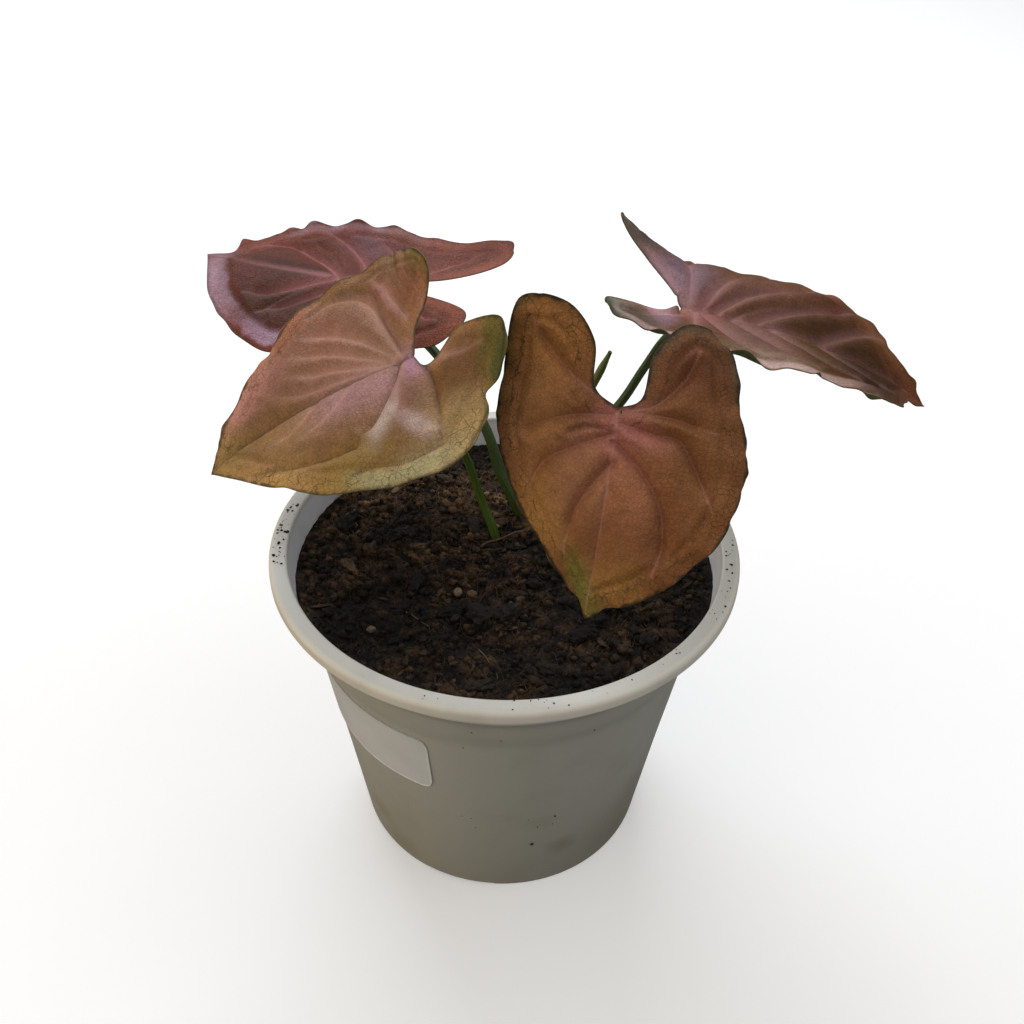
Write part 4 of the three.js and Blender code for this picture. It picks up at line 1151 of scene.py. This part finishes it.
def nicked(leaf, outer):
    """The margin's points with the leaf's nicks and bumps, and how far each is raised."""
    along = np.gradient(outer, axis=0)
    outwards = np.stack([along[:, 1], -along[:, 0]], -1)
    outwards /= np.linalg.norm(outwards, axis=1)[:, None] + 1e-9
    outwards *= np.sign((outwards[:, 0] * np.gradient(outer[:, 1])).sum()) * np.sign(outer[:, 0].sum())
    raised = np.zeros(len(outer))
    moved = outer.copy()
    for x, y, out, up, reach in leaf["nicks"]:
        near = np.exp(-((outer[:, 0] - x) ** 2 + (outer[:, 1] - y) ** 2) / reach ** 2)
        moved += outwards * (out * near)[:, None]
        raised += up * near
    return moved, raised


def half_grid(leaf, sign):
    """Flat points of one half, their ripple, and how far the margin next to each is raised."""
    outline = half_outline(leaf, sign)
    last = len(outline) - 1
    height, count, phase = leaf["waves"][0 if sign > 0 else 1]
    rows = 1 - (1 - np.linspace(0, 1, BLADE_ROWS + 1)) ** ROW_CROWDING
    t = np.linspace(0, 1, LOBE_COLUMNS, endpoint=False)
    lobe_station = lerp(CREST_STATION, ABREAST_STATION, t)
    lobe_inner = spline_points(outline, CREST_STATION * (1 - t))
    t = np.linspace(0, 1, BLADE_COLUMNS + 1)
    blade_station = lerp(ABREAST_STATION, last, t)
    along = lerp(-leaf["notch"], leaf["length"], t)
    midrib = np.stack([leaf["sweep"] * (np.maximum(along, 0) / leaf["length"]) ** 2, along], -1)
    station = np.concatenate([lobe_station, blade_station])
    inner = np.vstack([lobe_inner, midrib])
    outer, raised = nicked(leaf, spline_points(outline, station))
    outer[-1] = outline[-1]
    travel = (station - CREST_STATION) / (last - CREST_STATION)
    calm = np.sqrt(np.clip(np.sin(math.pi * travel), 0, 1))
    ripple = height * calm * np.sin(2 * math.pi * count * travel + phase)
    flat = inner[:, None] + (outer - inner)[:, None] * rows[None, :, None]
    return flat, ripple[:, None] * rows ** 4, np.broadcast_to(raised[:, None], flat.shape[:2])


def closest(points, curve):
    """Distance of each point to a curve of points, and how far along the curve that is."""
    gaps = np.hypot(points[:, None, 0] - curve[None, :, 0], points[:, None, 1] - curve[None, :, 1])
    index = gaps.argmin(1)
    return gaps[np.arange(len(points)), index], index / (len(curve) - 1)


def vein_fields(leaf, flat, margin):
    """How strongly each flat point lies on a pale vein, in the hollow along it and in a crease's painted
    shade.
    """
    run = np.linspace(0, MIDRIB["end"], 200)
    midrib = np.stack([leaf["sweep"] * run ** 2, leaf["length"] * run], -1)
    curves = [(midrib, leaf["midrib"], MIDRIB["strength"], MIDRIB["depth"])]
    for key, kind in (("veins", "pale"), ("creases", "dark")):
        for strength, vein in leaf[key]:
            curve = spline_points(vein, np.linspace(0, len(vein) - 1, VEIN_SAMPLES))
            curves.append((curve, kind, strength, strength))
    line, hollow, crease_shade = np.zeros(len(flat)), np.zeros(len(flat)), np.zeros(len(flat))
    for curve, kind, strength, depth in curves:
        distance, travel = closest(flat, curve)
        width = np.maximum(VEIN_WIDTH * (1 - 0.5 * travel) * math.sqrt(strength), LEAST_VEIN_WIDTH)
        drawn = min(strength, 1) * np.exp(-(distance / width) ** 2) * (1 - 0.5 * travel)
        if kind == "pale":
            glow = leaf["glow"] * strength * np.exp(-(distance / GLOW_WIDTH) ** 2) * (1 - travel ** 2)
            line = np.maximum(line, np.maximum(drawn, glow))
        else:
            # A crease is painted shade: a dark line along it and a softer painted shadow about it.
            ending = 1 - smoothstep(0.8, 1, travel)
            shadow = min(strength, 1) * np.exp(-(distance / SHADOW_WIDTH) ** 2) * ending
            peak = drawn.max()
            drawn = min(CREASE_GAIN * peak, 1) * drawn / peak
            crease_shade = np.maximum(crease_shade, np.maximum(drawn, 0.6 * shadow))
        off = np.sqrt(distance ** 2 + 0.09) - GROOVE_ROUNDING
        hollow = np.maximum(hollow, depth * np.exp(-off / GROOVE_WIDTH) * (1 - smoothstep(0.7, 1, travel)))
    seam = SEAM["depth"] * np.exp(-((margin - SEAM["inset"]) / SEAM["width"]) ** 2)
    return line, np.maximum(hollow, seam), crease_shade


def blade_grid(leaf):
    """Both halves as one sheet: flat points, side fields and quads, the midrib's points shared."""
    columns = LOBE_COLUMNS + BLADE_COLUMNS + 1
    width = BLADE_ROWS + 1
    flats, ripples, raised, faces = [], [], [], []
    for sign in (1, -1):
        flat, ripple, lifted = half_grid(leaf, sign)
        flats.append(flat.reshape(-1, 2))
        ripples.append(ripple.ravel())
        raised.append(lifted.ravel())
        offset = 0 if sign > 0 else columns * width
        faces.append(grid_faces(columns, width, flip=sign > 0, offset=offset))
    flat, ripple, raised = np.vstack(flats), np.concatenate(ripples), np.concatenate(raised)
    faces = np.vstack(faces)
    total = columns * width
    shared = np.arange(2 * total)
    midrib = np.arange(LOBE_COLUMNS, columns) * width
    shared[midrib + total] = midrib
    tip = (columns - 1) * width + np.arange(width)
    shared[tip] = tip[0]
    shared[tip + total] = tip[0]
    kept, index = np.unique(shared, return_inverse=True)
    return flat[kept], ripple[kept], raised[kept], index[faces]


def held_in(values, limit, ease=3.0):
    """The values, eased so that none passes the limit."""
    over = np.maximum(values - (limit - ease), 0)
    return values - over + ease * np.tanh(over / ease)


def vertex_normals(points, faces):
    normals = np.zeros_like(points)
    across = np.cross(points[faces[:, 2]] - points[faces[:, 0]], points[faces[:, 3]] - points[faces[:, 1]])
    for k in range(4):
        np.add.at(normals, faces[:, k], across)
    return normals / (np.linalg.norm(normals, axis=1)[:, None] + 1e-12)


def margin_distance(leaf, flat):
    """Distance of each flat point from the margin of its leaf."""
    distance = np.full(len(flat), 1e9)
    for sign in (1, -1):
        outline = half_outline(leaf, sign)
        curve = spline_points(outline, np.linspace(0, len(outline) - 1, MARGIN_SAMPLES))
        distance = np.minimum(distance, closest(flat, curve)[0])
    return distance


def cloud(flat, scale, seed):
    """Soft noise over the flat leaf, from -1 to 1."""
    return np.array([noise.noise(Vector((x * scale, y * scale, seed))) for x, y in flat.tolist()])


def puffs(flat, size):
    """Small cushions between the finest veins: 1 in their middles, 0 along their edges."""
    heights = []
    for x, y in flat.tolist():
        near = noise.voronoi(Vector((x / size, y / size, 0.5)))[0]
        heights.append(min(1.0, 2.2 * (near[1] - near[0])))
    return np.sqrt(np.array(heights))


def leaf_tint(leaf, flat, margin):
    """The leaf's base colour with its soft oval patches, then the bands that follow its margin."""
    total = np.full(len(flat), PATCH_BASE_WEIGHT)
    tint = total[:, None] * np.array(leaf["base"])
    for x, y, wide, tall, lean, color in leaf["patches"]:
        c, s = math.cos(math.radians(lean)), math.sin(math.radians(lean))
        dx, dy = flat[:, 0] - x, flat[:, 1] - y
        weight = np.exp(-((dx * c + dy * s) / wide) ** 2 - ((dy * c - dx * s) / tall) ** 2)
        total = total + weight
        tint = tint + weight[:, None] * np.array(color)
    tint = tint / total[:, None]
    rough = margin + 1.6 * cloud(flat, 0.16, 3.0) + 0.6 * cloud(flat, 0.5, 7.0)
    for x, y, wide, tall, near, far, color in leaf["bands"]:
        weight = np.exp(-(((flat[:, 0] - x) / wide) ** 2 + ((flat[:, 1] - y) / tall) ** 2) ** 2)
        weight = weight * smoothstep(near - 1, near + 1, rough) * smoothstep(far + 1.6, far - 1.6, rough)
        tint = lerp(tint, np.array(color), BAND_STRENGTH * weight[:, None])
    return tint


def blade_lift(leaf, flat, margin, ripple, raised, line, hollow):
    """How far each point stands off the leaf's bend: waves, nicks, dents, cushions, puffs and veins."""
    inner = smoothstep(0, CUSHION_INSET, margin)
    curl = raised * (1 - smoothstep(0, CURL_WIDTH, margin))
    for x, y, depth, wide, tall in leaf["dents"]:
        curl = curl - depth * np.exp(-((flat[:, 0] - x) / wide) ** 2 - ((flat[:, 1] - y) / tall) ** 2)
    cushions = CUSHION_HEIGHT * (inner * leaf["relief"]) * (VEIN_LEVEL - hollow)
    return ripple + curl + cushions + PUFF_HEIGHT * inner * puffs(flat, PUFF_SIZE) - VEIN_SINK * line


def closed_sheet(faces, under):
    """Faces of a sheet's upper side, its lower side, numbered on from under, and its rim."""
    pairs = np.vstack([faces[:, [k, (k + 1) % 4]] for k in range(4)])
    pairs = pairs[pairs[:, 0] != pairs[:, 1]]
    known = {(a, b) for a, b in pairs.tolist()}
    rim = [(b, a, a + under, b + under) for a, b in known if (b, a) not in known]
    sides = []
    for face in np.vstack([faces, faces[:, ::-1] + under]).tolist():
        corners = list(dict.fromkeys(face))
        if len(corners) > 2:
            sides.append(corners)
    return sides + rim


def doubled(values):
    """The same values for a sheet's upper and lower points."""
    return np.concatenate([values, values])


def make_blade(leaf):
    name = leaf["name"]
    flat, ripple, raised, faces = blade_grid(leaf)
    margin = margin_distance(leaf, flat)
    line, hollow, crease_shade = vein_fields(leaf, flat, margin)
    lift = blade_lift(leaf, flat, margin, ripple, raised, line, hollow)
    axes = leaf_axes(leaf)
    points = bent_points(leaf, flat[:, 0], flat[:, 1], lift) @ axes + leaf["at"]
    normals = vertex_normals(points, faces)
    if (normals @ axes[2]).mean() < 0:
        normals = -normals
        faces = faces[:, ::-1]
    half = lerp(MARGIN_THICKNESS, BLADE_THICKNESS, smoothstep(0, 6, margin)) / 2
    rib = 0.5 * np.clip(hollow, 0, 1) * smoothstep(0, 8, margin) * np.exp(-(line - 1) ** 2)
    upper = points + normals * half[:, None]
    lower = points - normals * (half + RIB_HEIGHT * rib)[:, None]
    sheet = np.vstack([upper, lower])
    sheet[:, 1] = held_in(sheet[:, 1], cad_box[1][1] / MM - 0.1)
    net_low, net_high = leaf["net"]
    from_petiole = smoothstep(12, 20, np.hypot(flat[:, 0], flat[:, 1]))
    fields = dict(
        flat=np.column_stack([flat, np.zeros(len(flat))]), margin=margin, crease_shade=crease_shade, vein=line,
        net=lerp(net_low, net_high, smoothstep(10, 4, margin)) * from_petiole,
        edge=leaf["edge"] * smoothstep(1.2, 0.1, margin + 0.7 * cloud(flat, 0.5, 1.0)))
    values = {key: doubled(field) for key, field in fields.items()}
    values["under"] = np.repeat([0.0, 1.0], len(points))
    valley = (1 - np.clip(hollow, 0, 1)) * smoothstep(2, 8, margin)
    shade = 1 + VEIN_BRIGHTENING * leaf["contrast"] - leaf["contrast"] * valley
    tint = leaf_tint(leaf, flat, margin) * shade[:, None]
    material = leaf_material(f"leaf_{name}", **leaf["look"])
    add_piece(f"blade_{name}", sheet, closed_sheet(faces, len(points)), material,
              [f"leaf_{name}"], values=values, colors=dict(tint=doubled(tint)))


# Stems

def smooth_path(points, samples):
    """Evenly spaced points on the centripetal Catmull-Rom curve that the solids follow."""
    points = np.asarray(points, float)
    full = np.vstack([2 * points[0] - points[1], points, 2 * points[-1] - points[-2]])
    fine = []
    for i in range(len(points) - 1):
        p = full[i:i + 4]
        a, b, c = np.maximum(np.linalg.norm(np.diff(p, axis=0), axis=1) ** 0.5, 1e-4)
        start = ((p[1] - p[0]) / a - (p[2] - p[0]) / (a + b) + (p[2] - p[1]) / b) * b
        end = ((p[2] - p[1]) / b - (p[3] - p[1]) / (b + c) + (p[3] - p[2]) / c) * b
        t = np.linspace(0, 1, 40, endpoint=i == len(points) - 2)[:, None]
        fine.append(p[1] + start * t + (3 * (p[2] - p[1]) - 2 * start - end) * t ** 2
                    + (2 * (p[1] - p[2]) + start + end) * t ** 3)
    fine = np.vstack(fine)
    travel = np.concatenate([[0], np.cumsum(np.linalg.norm(np.diff(fine, axis=0), axis=1))])
    at = np.linspace(0, travel[-1], samples)
    return np.stack([np.interp(at, travel, fine[:, k]) for k in range(3)], -1)


def sweep(path, radii, shape, facing):
    """Points, faces and values of a closed stem: shape gives the radius factor by angle and travel."""
    tangents = np.gradient(path, axis=0)
    tangents /= np.linalg.norm(tangents, axis=1)[:, None]
    across = np.cross(tangents, facing)
    across /= np.linalg.norm(across, axis=1)[:, None]
    front = np.cross(across, tangents)
    angles = np.linspace(0, 2 * math.pi, STEM_SIDES, endpoint=False)
    travel = np.linspace(0, 1, len(path))
    factor = shape(angles[None, :], travel[:, None]) * radii[:, None]
    rings = path[:, None] + factor[..., None] * (
        front[:, None] * np.cos(angles)[None, :, None] + across[:, None] * np.sin(angles)[None, :, None])
    points = np.vstack([rings.reshape(-1, 3), path[0], path[-1]])
    faces = grid_faces(len(path), STEM_SIDES, wrap=True).tolist()
    last = (len(path) - 1) * STEM_SIDES
    start, end = len(points) - 2, len(points) - 1
    for i in range(STEM_SIDES):
        j = (i + 1) % STEM_SIDES
        faces.append((start, j, i))
        faces.append((end, last + i, last + j))
    flat = np.stack(np.broadcast_arrays(angles[None, :] * 3, travel[:, None] * 6, 0.0), -1).reshape(-1, 3)
    along = np.repeat(travel, STEM_SIDES)
    values = dict(flat=np.vstack([flat, flat[:1], flat[-1:]]), along=np.concatenate([along, [0, 1]]))
    return points, faces, values


def foot_points(foot):
    """Where a stem runs straight up through the soil."""
    return [(*foot, SOIL_LEVEL - ROOT_DEPTH), (*foot, SOIL_LEVEL - ROOT_DEPTH / 2), (*foot, SOIL_LEVEL + 0.5)]


def make_petiole(leaf, material):
    stem = leaf["stem"]
    right, left = (math.radians(a) for a in leaf["fold"])
    lean = (right - left) / 2
    axes = leaf_axes(leaf)

    def below(distance):
        return np.array([math.sin(lean) * distance, 0, -math.cos(lean) * distance]) @ axes + leaf["at"]

    points = [*foot_points(stem["foot"]), *stem["path"], below(PETIOLE_RISE), below(0.1)]
    path = smooth_path(points, STEM_POINTS)
    travel = np.linspace(0, 1, len(path))
    sheath = (stem["sheath"] - stem["radius"]) * (1 - smoothstep(0.2, 0.45, travel))
    radii = stem["radius"] * lerp(1, PETIOLE_TAPER, travel) + sheath

    def shape(angle, travel):
        channel = np.exp(-(np.minimum(angle, 2 * math.pi - angle) / 0.5) ** 2)
        depth = 0.10 + 0.22 * (1 - smoothstep(0.25, 0.5, travel))
        return 1 - depth * channel + 0.02 * np.sin(3 * angle + 9 * travel)

    outward = np.array([leaf["at"][0] - stem["foot"][0], leaf["at"][1] - stem["foot"][1], 0])
    facing = -outward / np.linalg.norm(outward) + np.array([0, 0, 0.3])
    points, faces, values = sweep(path, radii, shape, facing)
    name = leaf["name"]
    add_piece(f"stem_{name}", points, faces, material, [f"petiole_{name}"], values=values)


def make_new_leaf():
    path = smooth_path([*foot_points(NEW_LEAF["foot"]), *NEW_LEAF["path"]], SPIKE_POINTS)
    travel = np.linspace(0, 1, len(path))
    radii = NEW_LEAF["radius"] * (1 - 0.5 * smoothstep(0.9, 1, travel))

    def shape(angle, travel):
        return 1 + 0.22 * (angle / (2 * math.pi) - 0.5) * smoothstep(0.45, 0.6, travel)

    material = stem_material("new_leaf", *SPIKE_GREENS)
    points, faces, values = sweep(path, radii, shape, np.array([0.3, -1, 0.2]))
    add_piece("spike", points, faces, material, ["new_leaf"], values=values)


# Stage

def add_camera():
    pitch, roll = CAMERA_PITCH, CAMERA_ROLL
    forward = Vector((0, math.cos(pitch), -math.sin(pitch)))
    right = Vector((1, 0, 0))
    up = Vector((0, math.sin(pitch), math.cos(pitch)))
    rolled_right = math.cos(roll) * right + math.sin(roll) * up
    rolled_up = math.cos(roll) * up - math.sin(roll) * right
    camera = bpy.data.objects.new("camera", bpy.data.cameras.new("camera"))
    camera.data.lens = CAMERA_LENS
    camera.data.sensor_width = CAMERA_SENSOR
    camera.data.clip_start = 0.01
    camera.matrix_world = Matrix((
        (rolled_right.x, rolled_up.x, -forward.x, CAMERA_AT[0] * MM),
        (rolled_right.y, rolled_up.y, -forward.y, CAMERA_AT[1] * MM),
        (rolled_right.z, rolled_up.z, -forward.z, CAMERA_AT[2] * MM),
        (0, 0, 0, 1)))
    bpy.context.scene.collection.objects.link(camera)
    bpy.context.scene.camera = camera


def add_light(name, place, size, power, color):
    light = bpy.data.lights.new(name, "AREA")
    light.shape = "RECTANGLE"
    light.size, light.size_y = size
    light.energy = power
    light.color = color
    lamp = bpy.data.objects.new(name, light)
    lamp.location = place
    aim = Vector(LIGHT_AIM) - Vector(place)
    lamp.rotation_euler = aim.to_track_quat("-Z", "Y").to_euler()
    lamp.visible_camera = False
    bpy.context.scene.collection.objects.link(lamp)


def add_stage():
    bpy.ops.mesh.primitive_circle_add(vertices=96, radius=FLOOR_RADIUS, fill_type="NGON", location=(0, 0, 0))
    floor = bpy.context.object
    floor.name = "floor"
    shader = Shader("floor", 0.8)
    seen = shader.node("LightPath").outputs["Is Camera Ray"]
    shader.put(shader.times(seen, FLOOR_GLOW), shader.surface.inputs["Emission Strength"])
    floor.data.materials.append(shader.finish(shader.mix(seen, *FLOOR_COLORS)))
    world = bpy.data.worlds.new("studio")
    world.use_nodes = True
    background = world.node_tree.nodes["Background"]
    background.inputs["Color"].default_value = WORLD_COLOR
    background.inputs["Strength"].default_value = WORLD_STRENGTH
    bpy.context.scene.world = world
    for light in LIGHTS:
        add_light(*light)
    bpy.context.scene.view_settings.view_transform = "Standard"


add_camera()
add_stage()
make_pot()
make_label()
make_soil()
for leaf in LEAVES:
    make_blade(leaf)
    make_petiole(leaf, stem_material(f"petiole_{leaf['name']}", *leaf["greens"]))
make_new_leaf()
